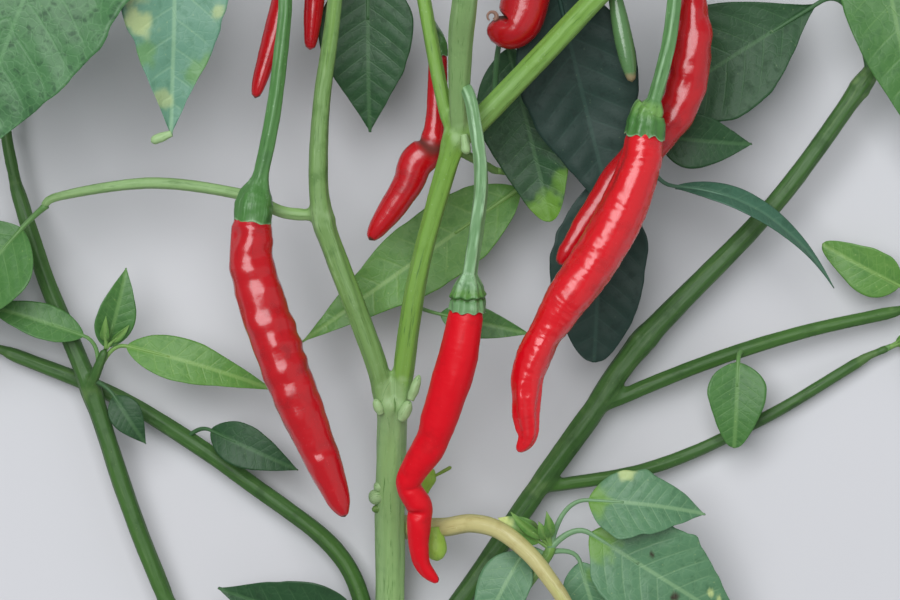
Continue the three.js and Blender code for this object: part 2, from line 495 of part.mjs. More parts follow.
function addFruit({ name, bears, sides, colour, stalk, pod }) {
  const stalkSolid = toSolid(tube(stalkRings(stalk), STALK_SIDES));
  addMesh(`${name}_stalk`, stalkSolid, bears, STALK_COLOUR, STALK_ROUGHNESS);
  addMesh(`${name}_pod`, toSolid(tube(limbRings(pod, POD_RING_STEP), sides)), [], colour, POD_ROUGHNESS);
}

function addSpray({ name, bears, sides, colour, twig, leaves }) {
  const pieces = leaves.map((leaf) => toSolid(leafShape(leaf)));
  if (twig) {
    pieces.push(toSolid(tube(limbRings(twig, TWIG_RING_STEP), sides)));
  }
  addMesh(name, pieces.reduce((joined, piece) => joined.add(piece)), bears, colour, LEAF_ROUGHNESS);
}

// The leaves of a crown, each a step further up the twig and turned by the golden angle
function windingLeaves({ twig, count, leaf, width, lean, turn }) {
  const line = splineThrough(twig.path.map((point) => new THREE.Vector3(...point)));
  return Array.from({ length: count }, (_, index) => {
    const share = LOWEST_LEAF + WINDING_SPAN * index / (count - 1);
    const angle = turn + index * GOLDEN_ANGLE;
    const size = 1 - SHRINKING * share;
    const outward = new THREE.Vector3(Math.cos(angle), LEAF_RISE, LEAF_SWING * Math.sin(angle))
      .add(new THREE.Vector3(...lean)).normalize();
    const root = line.getPointAt(share);
    const base = root.clone().addScaledVector(outward, CROWN_PETIOLE * size);
    const tip = base.clone().addScaledVector(outward, leaf * size);
    tip.z -= TIP_SAG * leaf;
    return { root: root.toArray(), base: base.toArray(), tip: tip.toArray(), width: width * size,
      arch: CROWN_ARCH * leaf, face: [FACE_TURN * Math.cos(angle), -FACE_TURN, 1] };
  });
}

const clearances = new Map();
const branch = new THREE.Group();
LIMBS.forEach(addLimb);
FRUITS.forEach(addFruit);
SPRAYS.forEach(addSpray);
CROWNS.forEach((crown) => addSpray({ ...crown, sides: TWIG_SIDES, leaves: windingLeaves(crown) }));

// The origin is under the middle of the branch, at the level it lies on
const box = new THREE.Box3().setFromObject(branch);
const middle = box.getCenter(new THREE.Vector3());
branch.position.set(-middle.x, -middle.y, -box.min.z);

export default branch;
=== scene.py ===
# The fruiting, forked top of a chilli pepper plant, cut through its main stem and lying on a pale floor.
# The tables are in millimetres, as the part's source has them. All that is built is in metres.
import math

import bpy
import numpy as np
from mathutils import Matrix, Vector


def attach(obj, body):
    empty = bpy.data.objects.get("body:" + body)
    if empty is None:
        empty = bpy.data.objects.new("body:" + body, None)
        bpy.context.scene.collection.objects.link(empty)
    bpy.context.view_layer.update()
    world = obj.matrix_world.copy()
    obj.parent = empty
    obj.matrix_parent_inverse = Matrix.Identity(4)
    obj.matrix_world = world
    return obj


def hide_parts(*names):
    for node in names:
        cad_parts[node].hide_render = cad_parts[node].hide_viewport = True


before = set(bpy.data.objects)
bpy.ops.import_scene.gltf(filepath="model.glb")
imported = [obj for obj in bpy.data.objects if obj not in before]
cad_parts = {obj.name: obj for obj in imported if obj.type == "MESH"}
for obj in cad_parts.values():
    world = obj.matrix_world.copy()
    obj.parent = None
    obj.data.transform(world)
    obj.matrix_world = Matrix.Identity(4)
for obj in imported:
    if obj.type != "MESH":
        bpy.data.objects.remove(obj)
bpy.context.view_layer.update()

MM = 0.001
SHIFT = np.array([1.5512, -14.774, -0.0881])    # from the tables' origin to the frame's, in millimetres
POD_LEVEL = 45                                  # height of the plane in which the pods hang
SIGHT_LENGTH = 1100                             # distance of the eye over that plane
SEEN_WIDTH = 225                                # width of that plane which the picture shows
SENSOR_WIDTH = 36
LINE_SAMPLES = 900                              # points of a densely drawn centre line
UP = [0, 0, 1]


# Tables of the plant

def tube(radii, *path, **more):
    """A limb, stalk or pod. Its path's points are [across, along, height], with the eye straight above and
    along upwards in its view. Its radii are at even steps of its length. A knot is [share of the length,
    swell], a calyx [length, radius], and a tint [how pale, how dark, how bright]."""
    return dict(radii=radii, path=path, **more)


def leaf(root, base, tip, width, arch, tone, face=UP, **looks):
    """A leaf. Its stalk runs from root to base, its blade from base to tip, and rises by arch along face. A
    spot is (kind, share of the length, share of the half-width, radius, strength)."""
    return dict(root=root, base=base, tip=tip, width=width, arch=arch, tone=tone, face=face, looks=looks)


LIMBS = dict(
    main_stem=tube([3.8, 3.7], [-16, -104, 4], [-15, -75, 10], [-15, -47.5, 19], [-14.1, -22.5, 31.5],
        knots=[[0.97, 0.85]], tint=[0.5, 0, 0]),
    left_bough=tube([2.7, 2.7, 2.05, 1.7], [-16.5, -25, 31], [-18.75, -15, 33], [-28.75, 11.25, 36.5],
        [-32, 21.25, 38], [-33, 32.5, 39], [-32, 50, 40], [-29.25, 70, 41], [-28, 85, 42], [-27.5, 100, 42],
        knots=[[0.38, 0.45]], tint=[0, 0.12, 0]),
    right_bough=tube([2.7, 2.65, 2.5, 2.8], [-12.6, -25, 31], [-9.5, -2.5, 37], [-6.5, 12.5, 40.5],
        [-0.25, 35, 45.5], [3, 43.5, 47], knots=[[0.96, 1]], tint=[0, 0, 0.75]),
    fork_left_twig=tube([1.9, 1.7], [1, 41, 46.5], [-1.75, 50, 47.5], [-6.5, 75, 49], [-8, 86, 48],
        tint=[0, 0, 0.7]),
    fork_centre_twig=tube([2.4, 2.8, 3.25, 2.6], [2.5, 42.5, 48], [2.3, 52.5, 54], [2.75, 65, 63],
        [3.75, 75, 72], [5, 87.5, 80], tint=[0.3, 0, 0]),
    fork_right_twig=tube([2.9, 2.75, 2.2], [4, 41.5, 47], [22.5, 60.5, 50], [35, 73.75, 51],
        [47.5, 86.25, 50], [60, 97.5, 47], [68, 103, 45], tint=[0, 0, 0.4]),
    back_right_bough=tube([2.8, 2.7, 3, 2.5, 2.35], [-13, -95, 6.2], [2.75, -75, 7.5], [20, -50, 9],
        [35, -28.75, 10], [48, -10.5, 11], [81, 24, 13], [106, 58, 14.5],
        knots=[[0.54, 0.45], [0.97, 0.45]]),
    back_left_bough=tube([2.4, 2.25, 2.15, 1.8], [-17.5, -94, 6.4], [-26, -66, 6.8], [-47.5, -47.5, 6.5],
        [-80, -26, 6.2], [-112, -12.5, 5.6]),
    far_left_foot=tube([2.3, 2.3], [-18, -100, 5], [-38, -103, 5], [-58, -92, 7], [-71, -75, 9]),
    far_left_bough=tube([2.3, 2.35, 2.3, 1.9], [-70.2, -77, 8.8], [-80, -52, 11], [-90, -22, 12.5],
        [-101, 5, 12], [-109, 30, 11], knots=[[0.51, 0.45]]),
    back_right_side_twig=tube([2, 1.85, 1.6], [36, -27, 10], [62.5, -16.25, 8.5], [87.5, -8.25, 7.5],
        [113, -2.5, 6.5]),
    back_right_low_twig=tube([1.8, 1.65, 1.4], [22, -47, 9], [50, -42, 6], [77.5, -30, 4.5],
        [105, -13.75, 3.6]),
)
FRUITS = dict(
    centre=dict(
        stalk=tube([1.5, 1.82], [2.9, 49.5, 51.2], [4.2, 52.6, 56.2], [6, 46, 57.6], [7.8, 29, 57],
            [5, 7, 53.2], [4.25, -2.75, 51.6], calyx=[9.5, 4.7]),
        pod=tube([4.35, 4.9, 5, 4.6, 4.2, 3.3, 3.3, 2.4, 1.5], [4.15, -3.3, 51.45], [2.4, -12.5, 50],
            [0.25, -21, 48], [-2.5, -29.25, 45.5], [-4.2, -35, 43.5], [-9.4, -43.25, 40.5],
            [-10.2, -46.75, 39], [-7.6, -51.6, 37.6], [-7.6, -56, 36.3], [-7.7, -61.5, 34.8],
            [-6.7, -66.5, 33.5], [-3, -70.6, 32.5], tip=5)),
    right=dict(
        stalk=tube([1.6, 1.81], [55.5, 94, 48.5], [56.6, 85, 53], [55, 65.5, 54], [51, 49.5, 53],
            [49.6, 46.6, 52.7], [48.6, 41, 52.2], calyx=[9.5, 4.9]),
        pod=tube([4.9, 5.7, 6.1, 6.2, 5.7, 4.7, 4.3, 3.5, 1.4], [48.5, 40.6, 52.2], [47.6, 34.5, 52],
            [45, 27, 52], [40.75, 17.75, 51.5], [35, 8.25, 51], [30.75, 2.25, 51], [27.5, -2.25, 50.5],
            [21.5, -13.5, 49.5], [19.4, -19.6, 49], [19, -26.5, 48.5], [19.5, -33.8, 47.5], [17, -38, 47],
            tip=3)),
    left=dict(
        stalk=tube([1.6, 1.9], [-28.5, 86, 43], [-36, 85.5, 45], [-40.8, 79, 46], [-41.5, 70, 46.5],
            [-44, 48, 46], [-46.8, 33, 45.2], [-48.7, 25, 45], [-49.4, 19.25, 45], calyx=[13, 4.85]),
        pod=tube([5.2, 5.7, 6.1, 6.1, 5.8, 4.9, 4, 1.8], [-49.5, 18.8, 45], [-49.75, 12.5, 45],
            [-48.25, 3.75, 45], [-42, -15, 45], [-35, -32.5, 44], [-26.2, -54.2, 41.3], tip=4)),
    right_rear=dict(
        stalk=tube([1.4, 1.58], [64, 100, 46], [63.2, 92, 43.5], [61.2, 78, 43], calyx=[7.5, 3.4]),
        pod=tube([3, 4.8, 4.9, 4.6, 3.7, 2.9, 2], [61.1, 77.6, 43], [60.75, 73.75, 43], [60.5, 63, 43],
            [57, 47.5, 41.8], [43, 32, 40.5], [34.8, 20.8, 40.5], [27.2, 8.8, 40.5], tip=5)),
    top_hooked=dict(
        stalk=tube([1.4, 1.62], [38, 77, 51], [35.5, 91, 52.5], [29.5, 101, 51], [24, 99.5, 47.6],
            [22.4, 96, 46.8], [21.3, 90.8, 46.5], calyx=[10.5, 4.4]),
        pod=tube([4.2, 5.3, 5.9, 5.9, 5.2, 3], [21.2, 90.2, 46.45], [18.5, 73.5, 46], [16.2, 68.6, 46],
            [13.4, 68, 46], [11.9, 70.9, 46], tip=3)),
    back_kinked=dict(
        stalk=tube([1.3, 1.47], [-5.2, 69, 48.4], [-4.3, 68, 42], [-3.3, 65.4, 38], [-3, 61.3, 37],
            calyx=[7, 2.6]),
        pod=tube([2.3, 2.4, 2.6, 4.3, 3.9, 3.1, 2], [-3, 60.7, 36.9], [-3.25, 52.5, 36], [-4.5, 39.5, 36],
            [-8.8, 34.2, 36], [-11.2, 28, 35.6], [-20.2, 15, 34.5], tip=5)),
    back_left_outer=dict(
        stalk=tube([1.2, 1.34], [-28.8, 78, 41], [-33.5, 83.5, 37.6], [-38.2, 86.5, 34.8], [-40, 85, 32.4],
            [-41.1, 82.6, 31.2], calyx=[6, 2.5]),
        pod=tube([2.2, 2.65, 2.65, 2.2, 2.05], [-41.5, 81.2, 30.7], [-42.5, 72.5, 30], [-48.75, 50.5, 30],
            tip=8)),
    back_left_inner=dict(
        stalk=tube([1.1, 1.2], [-27.6, 95, 41.5], [-29, 99.5, 37.5], [-32, 99, 35], [-32.8, 94.5, 34],
            [-32.8, 88, 33.2], calyx=[6.5, 2.4]),
        pod=tube([2.2, 2.55, 2.7, 2.5, 2.15, 2.3], [-32.8, 87.5, 33.2], [-35, 62.5, 32], tip=8)),
    green=dict(
        stalk=tube([1, 1.06], [41.5, 80.5, 50.5], [40.2, 80.6, 46.8], [40.7, 78.6, 44.8],
            [41.2, 76.2, 44.5], calyx=[4, 2]),
        pod=tube([1.8, 2.4, 1.8], [41.3, 75.7, 44.45], [45.5, 54.5, 44], tip=7)),
)
SPRAYS = dict(
    yellowed_side_stalk=dict(
        twig=tube([2.4, 2.3, 1.95, 1.2], [-11.6, -56.8, 9.5], [-7.8, -56.8, 16.5], [-1.25, -56.75, 24.8],
            [5.5, -55.9, 28], [12.5, -57.75, 30.5], [19.75, -63.5, 33], [25, -70, 34.5], [29, -76.25, 34],
            [33.5, -86, 30], [35.5, -92, 26]),
        leaves=[
            leaf([35, -90, 27.5], [36.5, -95, 24], [44, -116, 8], 13, 3, "green", [0.3, 0.5, 1])]),
    low_shoot=dict(
        twig=tube([1.8, 1.3], [-13, -99, 6], [3, -88, 15], [16, -75, 22], [24, -64.5, 26], [25.5, -61, 27]),
        leaves=[
            leaf([25, -62, 27], [22.5, -60.5, 26.5], [12, -54.5, 26], 7, 1.5, "bright", [-0.2, 0.3, 1],
                waves=0.22, spots=[("pale", 0.95, 0, 3.5, 1), ("dark", 0.25, 0.9, 1.2, 0.5)]),
            leaf([25, -62, 27], [34.5, -50, 30.5], [64, -53.5, 28], 19, 3, "sage", [0, 0.25, 1], waves=0.18,
                spots=[("bright", 0.04, 0, 5, 0.8), ("pale", 0.3, -0.9, 2.6, 0.7)]),
            leaf([25, -62, 27], [35, -58.3, 27], [73, -82, 18], 29, 4, "sage", [0.2, -0.1, 1], waves=0.2,
                spots=[("bright", 0.05, 0, 6, 0.8), ("dark", 0.33, -0.28, 0.9, 1),
                ("dark", 0.56, 0.2, 1.1, 1), ("pale", 0.72, -0.45, 1, 0.8),
                ("pale", 0.78, -0.55, 0.8, 0.8)]),
            leaf([25, -63, 26.5], [32.5, -65.5, 24.5], [41, -90, 15], 16, 3, "sage", [-0.2, 0, 1],
                waves=0.1, spots=[("bright", 0.2, -0.8, 4, 0.6)]),
            leaf([24, -64, 26], [18.5, -63, 24], [6.5, -86, 23], 15, 2, "sage", [-0.2, 0.2, 1])]),
    foot_leaf=dict(
        leaves=[
            leaf([-15.5, -84, 8], [-23, -80, 14.5], [-58, -72, 12.5], 19, 4, "deep", [0, -0.3, 1],
                waves=0.05)]),
    left_axil_leaf=dict(
        leaves=[
            leaf([-67, -36, 6.3], [-60, -32.5, 10.5], [-38, -42.5, 12], 12, 3, "deep")]),
    left_shoot=dict(
        twig=tube([1.5, 1.3, 1], [-90, -22, 14], [-88, -17, 17], [-86, -12, 18.5]),
        leaves=[
            leaf([-88, -18, 16.5], [-86, -12, 18], [-81, 8, 20], 11, 2, "green", [0.3, 0, 1]),
            leaf([-88, -18, 16.5], [-91.5, -9, 18], [-118, -1, 17], 10, 2, "green", [0, 0.3, 1]),
            leaf([-88, -18, 16.5], [-81, -11.5, 18], [-44, -22.5, 15], 12, 4, "bright", [0, 0.2, 1]),
            leaf([-89, -20, 15.5], [-84, -24, 15.5], [-76, -36, 14], 9, 2, "deep")]),
    arched_leaf=dict(
        twig=tube([1.6, 1.5, 1.45, 1.1], [-32, 21.25, 38], [-41.75, 22, 36], [-52.5, 26.5, 33.5],
            [-75, 29.25, 30], [-97.5, 26, 27], [-102, 23, 26.2], tint=[0.4, 0, 0]),
        leaves=[
            leaf([-101, 23.7, 26.3], [-107, 18, 25], [-125, -8, 21], 26, 3, "green", [-0.3, 0.2, 1])]),
    upper_back_leaf=dict(
        leaves=[
            leaf([-28.1, 82, 41.8], [-20.5, 82, 27], [-20, 42, 22], 26, 2, "deep", [-0.1, 0, 1])]),
    bright_back_leaf=dict(
        twig=tube([1.2, 1], [1.8, 37.5, 44.5], [12, 32, 25]),
        leaves=[
            leaf([11.4, 32.4, 26], [17.5, 28, 16.8], [-37, -10.5, 17], 21, 1.5, "bright", [0, 0.15, 1])]),
    small_back_leaf=dict(
        leaves=[
            leaf([-9.4, -1, 37], [-2.5, -3.5, 29], [20, -8.5, 30], 9, 1.5, "green")]),
    dark_rear_leaf=dict(
        leaves=[
            leaf([35, 73.75, 51], [26.5, 79, 41.5], [41, 20, 31], 33, -2.5, "dark", [0, 0.1, 1],
                curl=0.3)]),
    bright_rear_leaf=dict(
        leaves=[
            leaf([11, 49, 48.2], [14.5, 63, 31], [25.2, 19.6, 26.5], 25, -1, "deep", [-0.2, 0, 1],
                blunt=0.5, spots=[("bright", 0.95, 0, 6, 0.9), ("bright", 0.8, -0.95, 4, 0.7),
                ("bright", 0.66, -1, 3, 0.6)])]),
    rear_spray=dict(
        twig=tube([1.3, 1], [52.5, 88, 48], [56, 80, 35], [54.6, 63, 29.5], [48.8, 33, 25.5]),
        leaves=[
            # Painted shade: this leaf, in the near-black dark skin, lies over a patch of shadow between the
            # rear leaves.
            leaf([49.2, 38, 26.3], [38.5, 33, 25], [36, -15.5, 19], 27, 2, "dark", [0, 0.1, 1],
                broadest=1.05, blunt=0.5, spots=[("dark", 0.62, 0.25, 1.2, 0.7)]),
            leaf([49.8, 45, 27.3], [52, 41, 27], [75.5, 39, 25], 15, 2, "deep", [0, -0.2, 1]),
            leaf([49.1, 36, 26], [56, 28.5, 26], [96, 3, 22], 8, 9, "teal", [0.3, 0.8, 0.9])]),
    back_crown=dict(
        twig=tube([2.2, 1.1], [104.5, 55, 14.6], [108.5, 67, 14], [112, 82, 11.5], [113, 96, 8.5]),
        leaves=[
            leaf([104.6, 57.5, 15], [92.5, 74.5, 20], [50.5, 48, 19], 33, 2, "deep", [-0.1, 0, 1],
                broadest=1.35, blunt=0.2),
            leaf([112.3, 84, 11.2], [106, 96, 15], [117.5, 38.5, 22], 27, 7, "green", [-0.1, 0.1, 1]),
            leaf([112.7, 92, 9.4], [113.5, 101, 7.5], [119, 128, 0.9], 22, 2, "green", [0.2, 0.2, 1]),
            leaf([112, 82, 11.5], [118, 88, 10], [137, 96, 3], 15, 3, "green", [0.2, 0, 1])]),
    side_twig_leaf=dict(
        leaves=[
            leaf([73, -12.7, 8], [72, -15.5, 13], [71, -37, 11.5], 16, 2, "green", [0, 0.2, 1],
                blunt=0.5)]),
    side_twig_end=dict(
        twig=tube([1.3, 1.2, 1.1, 0.9], [112, -2.7, 6.5], [121, 0.2, 6]),
        leaves=[
            leaf([115, -2, 6.4], [112.5, 3.5, 9], [93, 14, 9.5], 13, 2, "bright", [0, -0.2, 1], blunt=0.5),
            leaf([120, -0.2, 6.1], [125, 3, 5.8], [143, 17, 1.5], 16, 3, "green")]),
    low_twig_end=dict(
        twig=tube([1.2, 1.1, 0.9], [104, -14.2, 3.7], [110, -11.8, 3.4]),
        leaves=[
            leaf([109, -12.2, 3.4], [115, -11.5, 3.2], [136, -23, 1], 16, 2, "green")]),
    far_left_end=dict(
        twig=tube([1.7, 1.5, 1.2], [-108.6, 29, 11], [-111, 42, 10.5], [-111, 54, 9]),
        leaves=[
            leaf([-111, 42, 10.5], [-118, 47, 8.5], [-138, 62, 1], 17, 3, "green", [-0.1, 0.1, 1]),
            leaf([-111, 52, 9.3], [-110, 59, 8], [-104, 84, 0.9], 19, 3, "green", [0, 0.2, 1])]),
    back_left_end=dict(
        twig=tube([1.4, 1], [-111, -12.8, 5.6], [-120, -10, 5]),
        leaves=[
            leaf([-116, -11.2, 5.2], [-122, -15, 4.8], [-134, -34, 1], 15, 2, "green"),
            leaf([-119, -10.3, 5], [-126, -7, 4.6], [-146, 4, 1], 14, 2, "green")]),
    crown_left=dict(
        twig=tube([1.5, 1.35, 1], [-27.6, 99, 42], [-33, 108, 45], [-46, 117, 48], [-60, 122, 49]),
        leaves=[
            leaf([-50, 119, 48.5], [-68.5, 107.5, 53], [-69.8, 41.2, 50], 31, 3, "blue", [0.15, 0, 1],
                waves=0.08, spots=[("pale", 0.47, 0.8, 3.4, 0.5), ("pale", 0.58, 0.75, 3.6, 0.6),
                ("bright", 0.7, 0.85, 3.4, 0.45), ("pale", 0.86, 0.6, 2.6, 0.45),
                ("pale", 0.53, -0.85, 2, 0.5), ("bright", 0.75, -0.9, 4, 0.5)]),
            leaf([-58, 121.5, 49], [-92.5, 110, 57], [-123, 31.5, 55], 52, 5, "mottled", [0.1, 0.2, 1]),
            leaf([-60, 122, 49], [-66, 127, 49], [-90, 141, 42], 17, 4, "green", [0, 0.2, 1]),
            leaf([-40, 113.5, 47], [-40, 123, 44], [-33, 148, 34], 20, 4, "green", [0, 0.2, 1])]),
)
# Leaves that wind up a twig: their tones, the first leaf's length and width, which way all lean, and the
# first one's turn about the twig.
CROWNS = dict(
    crown_fork_left=dict(tones=["green", "mottled", "green", "bright"], longest=34, widest=15,
        lean=[-0.2, 0.9, -0.35], turn=0.6,
        twig=tube([1.5, 1.3, 0.8], [-7.8, 85, 48], [-9.5, 97, 46], [-12, 116, 40])),
    crown_centre=dict(tones=["green", "bright", "green", "bright"], longest=36, widest=16,
        lean=[0, 0.9, 0.1], turn=2.2,
        twig=tube([2, 0.8], [4.9, 86.5, 79.4], [6, 98, 83], [7, 109, 84], [8, 118, 82])),
    crown_right=dict(tones=["green", "mottled", "green", "green", "bright"], longest=40, widest=17,
        lean=[0.45, 0.7, -0.2], turn=1.2,
        twig=tube([1.9, 0.9], [67, 102.3, 45.3], [86, 114, 38], [95, 118, 33])),
)


# Lines and noise

def place(points):
    """True places of points: what lies lower than the pods spreads a little wider than it looks."""
    points = np.array(points, float)
    spread = 1 + (POD_LEVEL - points[:, 2:3]) / SIGHT_LENGTH
    return np.hstack([points[:, :2] * spread, points[:, 2:3]])


def spline(points, share):
    """A smooth curve through evenly timed points, at shares from 0 to 1."""
    points = np.array(points, float)
    if points.ndim == 1:
        points = points[:, None]
    padded = np.vstack([2 * points[0] - points[1], points, 2 * points[-1] - points[-2]])
    time = np.clip(np.atleast_1d(share), 0, 1) * (len(points) - 1)
    index = np.minimum(time.astype(int), len(points) - 2)
    part = (time - index)[:, None]
    before, start, end, after = (padded[index + step] for step in range(4))
    return 0.5 * (2 * start + (end - before) * part
                  + (2 * before - 5 * start + 4 * end - after) * part ** 2
                  + (3 * start - before - 3 * end + after) * part ** 3)


def unit(vectors):
    return vectors / np.maximum(np.linalg.norm(vectors, axis=-1, keepdims=True), 1e-12)


class Line:
    """A centre line that is read by the share of its length."""

    def __init__(self, dense):
        self.points = dense
        self.run = np.concatenate([[0], np.cumsum(np.linalg.norm(np.diff(dense, axis=0), axis=1))])
        self.length = self.run[-1]

    def at(self, share):
        run = np.asarray(share) * self.length
        return np.stack([np.interp(run, self.run, self.points[:, k]) for k in range(3)], axis=-1)

    def forward(self, share):
        step = 0.4 / self.length
        ahead = self.at(np.minimum(np.asarray(share) + step, 1))
        return unit(ahead - self.at(np.maximum(np.asarray(share) - step, 0)))


def line_through(path):
    return Line(spline(place(path), np.linspace(0, 1, LINE_SAMPLES)))


def noise(points, seed):
    """Smooth noise from -1 to 1 over any number of points."""
    points = np.asarray(points, float)
    cell = np.floor(points).astype(np.int64)
    part = points - cell
    part = part * part * (3 - 2 * part)
    total = np.zeros(points.shape[:-1])
    for corner in range(8):
        pick = np.array([corner & 1, corner >> 1 & 1, corner >> 2 & 1])
        mixed = (cell + pick) @ np.array([73856093, 19349663, 83492791]) + seed * 2654435761
        mixed = (mixed ^ mixed >> 13) * 1274126177 & 0xffffffff
        value = ((mixed ^ mixed >> 16) & 0xffff) / 0x8000 - 1
        total += value * np.prod(np.where(pick, part, 1 - part), axis=-1)
    return total


def bell(distance, reach):
    return np.exp(-(distance / reach) ** 2)


def ramp(value, low, high):
    part = np.clip((value - low) / (high - low), 0, 1)
    return part * part * (3 - 2 * part)


# Meshes

def rings_along(line, shares):
    """Centre and crosswise directions of each ring, turned as little as possible from one to the next."""
    forwards = line.forward(shares)
    across = np.array([1, 0, 0.01])
    turned = []
    for forward in forwards:
        across = unit(across - across @ forward * forward)
        turned.append(across)
    return line.at(shares), np.array(turned), np.cross(turned, forwards), forwards


def skin_grid(line, shares, sides):
    """Angle and run of each point of a tube, and its place on a straight tube of radius 1."""
    angle = np.broadcast_to(np.linspace(0, 2 * math.pi, sides, endpoint=False), (len(shares), sides))
    run = np.broadcast_to((shares * line.length)[:, None], angle.shape)
    return angle, run, np.stack([np.cos(angle), np.sin(angle), run], axis=-1)


def grid_faces(rows, sides, first=0):
    """Quads between rows of points that each go once round."""
    corners = [(0, 0), (0, 1), (1, 1), (1, 0)]
    return [tuple(first + (row + down) * sides + (side + aside) % sides for down, aside in corners)
            for row in range(rows - 1) for side in range(sides)]


def closed_rows(grid, rind, stain):
    """A closed tube from rows of points that each go once round it."""
    rows, sides, _ = grid.shape
    values = np.concatenate([grid, rind, stain], axis=-1).reshape(-1, 9)
    faces = grid_faces(rows, sides)
    for row, turn in ((0, 1), (rows - 1, -1)):
        ring = [row * sides + side for side in range(sides)][::turn]
        faces += [(len(values), ring[(side + 1) % sides], ring[side]) for side in range(sides)]
        values = np.vstack([values, values[ring].mean(axis=0)])
    return values[:, :3], faces, {"rind": values[:, 3:6], "stain": values[:, 6:]}


def tube_parts(line, shares, radii, stain=None):
    """A closed tube. radii has a row for each share and a column for each side.

    The rind attribute is the place on the skin as if the tube were straight, in millimetres. The stain
    attribute says how pale, how dark and how bright the skin is there."""
    centres, across, beside, _ = rings_along(line, shares)
    _, run, straight = skin_grid(line, shares, radii.shape[1])
    outward = across[:, None] * straight[..., :1] + beside[:, None] * straight[..., 1:2]
    size = np.broadcast_to(radii.mean(axis=1)[:, None], radii.shape)
    rind = straight * np.stack([size, size, np.ones(size.shape)], axis=-1)
    stain = np.zeros(rind.shape) if stain is None else stain
    return closed_rows(centres[:, None] + outward * radii[..., None], rind, stain)


def join_parts(parts):
    """One set of points, faces and attributes from several."""
    points, faces, attributes = [], [], {}
    first = 0
    for part_points, part_faces, part_attributes in parts:
        points.append(part_points)
        faces += [tuple(corner + first for corner in face) for face in part_faces]
        for key, values in part_attributes.items():
            attributes.setdefault(key, []).append(values)
        first += len(part_points)
    return np.vstack(points), faces, {key: np.concatenate(values) for key, values in attributes.items()}


def add_object(name, data):
    thing = bpy.data.objects.new(name, data)
    bpy.context.scene.collection.objects.link(thing)
    return thing


def show(name, parts, material, slot, *nodes):
    """Builds a piece from millimetres, with its material, and lets it stand for CAD nodes. The slot it is
    given is not used.
    """
    points, faces, attributes = join_parts(parts)
    mesh = bpy.data.meshes.new(name)
    mesh.from_pydata(((points + SHIFT) * MM).tolist(), [], faces)
    for key, values in attributes.items():
        kind, entry = ("FLOAT_VECTOR", "vector") if values.ndim == 2 else ("FLOAT", "value")
        mesh.attributes.new(key, kind, "POINT").data.foreach_set(entry, values.astype(np.float32).ravel())
    mesh.validate()
    mesh.shade_smooth()
    mesh.materials.append(material)
    thing = add_object(name, mesh)
    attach(thing, "root")
    if nodes:
        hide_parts(*nodes)


# Materials

def colour(tone):
    """A colour from 0 to 255 as the eye sees it, made linear."""
    linear = [((part / 255 + 0.055) / 1.055) ** 2.4 if part > 10 else part / 3294.6 for part in tone]
    return (*linear, 1)


class Nodes:
    """Adds nodes to a material or group and links them as they come."""

    def __init__(self, tree):
        self.tree = tree

    def fill(self, node, inputs):
        for key, value in inputs.items():
            if isinstance(value, bpy.types.NodeSocket):
                self.tree.links.new(value, node.inputs[key])
            else:
                node.inputs[key].default_value = value

    def add(self, kind, inputs=None, **settings):
        node = self.tree.nodes.new("ShaderNode" + kind)
        for key, value in settings.items():
            setattr(node, key, value)
        self.fill(node, inputs or {})
        return node

    def math(self, operation, *values):
        return self.add("Math", dict(enumerate(values)), operation=operation).outputs[0]

    def plus(self, *values):
        return self.math("ADD", *values)

    def minus(self, *values):
        return self.math("SUBTRACT", *values)

    def times(self, *values):
        return self.math("MULTIPLY", *values)

    def over(self, *values):
        return self.math("DIVIDE", *values)

    def stretch(self, place_at, amounts):
        return self.add("VectorMath", {0: place_at, 1: amounts}, operation="MULTIPLY").outputs[0]

    def parts(self, vector):
        return self.add("SeparateXYZ", {0: vector}).outputs

    def noise(self, place_at, scale, detail=2.0, roughness=0.5):
        return self.add("TexNoise", {"Vector": place_at, "Scale": scale, "Detail": detail,
                                     "Roughness": roughness}).outputs["Fac"]

    def step(self, value, low, high):
        return self.add("MapRange", {"Value": value, "From Min": low, "From Max": high},
                        interpolation_type="SMOOTHSTEP").outputs["Result"]

    def fall(self, value, low, high):
        return self.minus(1.0, self.step(value, low, high))

    def mix(self, share, *tones):
        """The second tone over the first. A tone is a socket or three numbers from 0 to 255."""
        tones = [colour(tone) if isinstance(tone, tuple) else tone for tone in tones]
        return self.add("Mix", {0: share, 6: tones[0], 7: tones[1]}, data_type="RGBA").outputs[2]

    def layers(self, tint, *layers):
        """Lays tones over a tint. A layer is (mask, amount, tone)."""
        for mask, amount, tone in layers:
            tint = self.mix(mask if amount == 1 else self.times(mask, amount), tint, tone)
        return tint

    def attribute(self, name, output="Vector"):
        return self.add("Attribute", attribute_name=name).outputs[output]

    def use(self, group, **inputs):
        node = self.tree.nodes.new("ShaderNodeGroup")
        node.node_tree = group
        self.fill(node, inputs)
        return node.outputs


def new_group(name, inputs, outputs):
    """An empty node group with named sockets. inputs maps each name to its usual value."""
    group = bpy.data.node_groups.new(name, "ShaderNodeTree")
    for key, value in inputs.items():
        kind = "NodeSocketFloat" if isinstance(value, (int, float)) else "NodeSocketVector"
        group.interface.new_socket(key, in_out="INPUT", socket_type=kind).default_value = value
    for key in outputs:
        group.interface.new_socket(key, in_out="OUTPUT", socket_type="NodeSocketFloat")
    source = group.nodes.new("NodeGroupInput").outputs
    result = group.nodes.new("NodeGroupOutput").inputs
    return group, Nodes(group), source, lambda key, value: group.links.new(value, result[key])


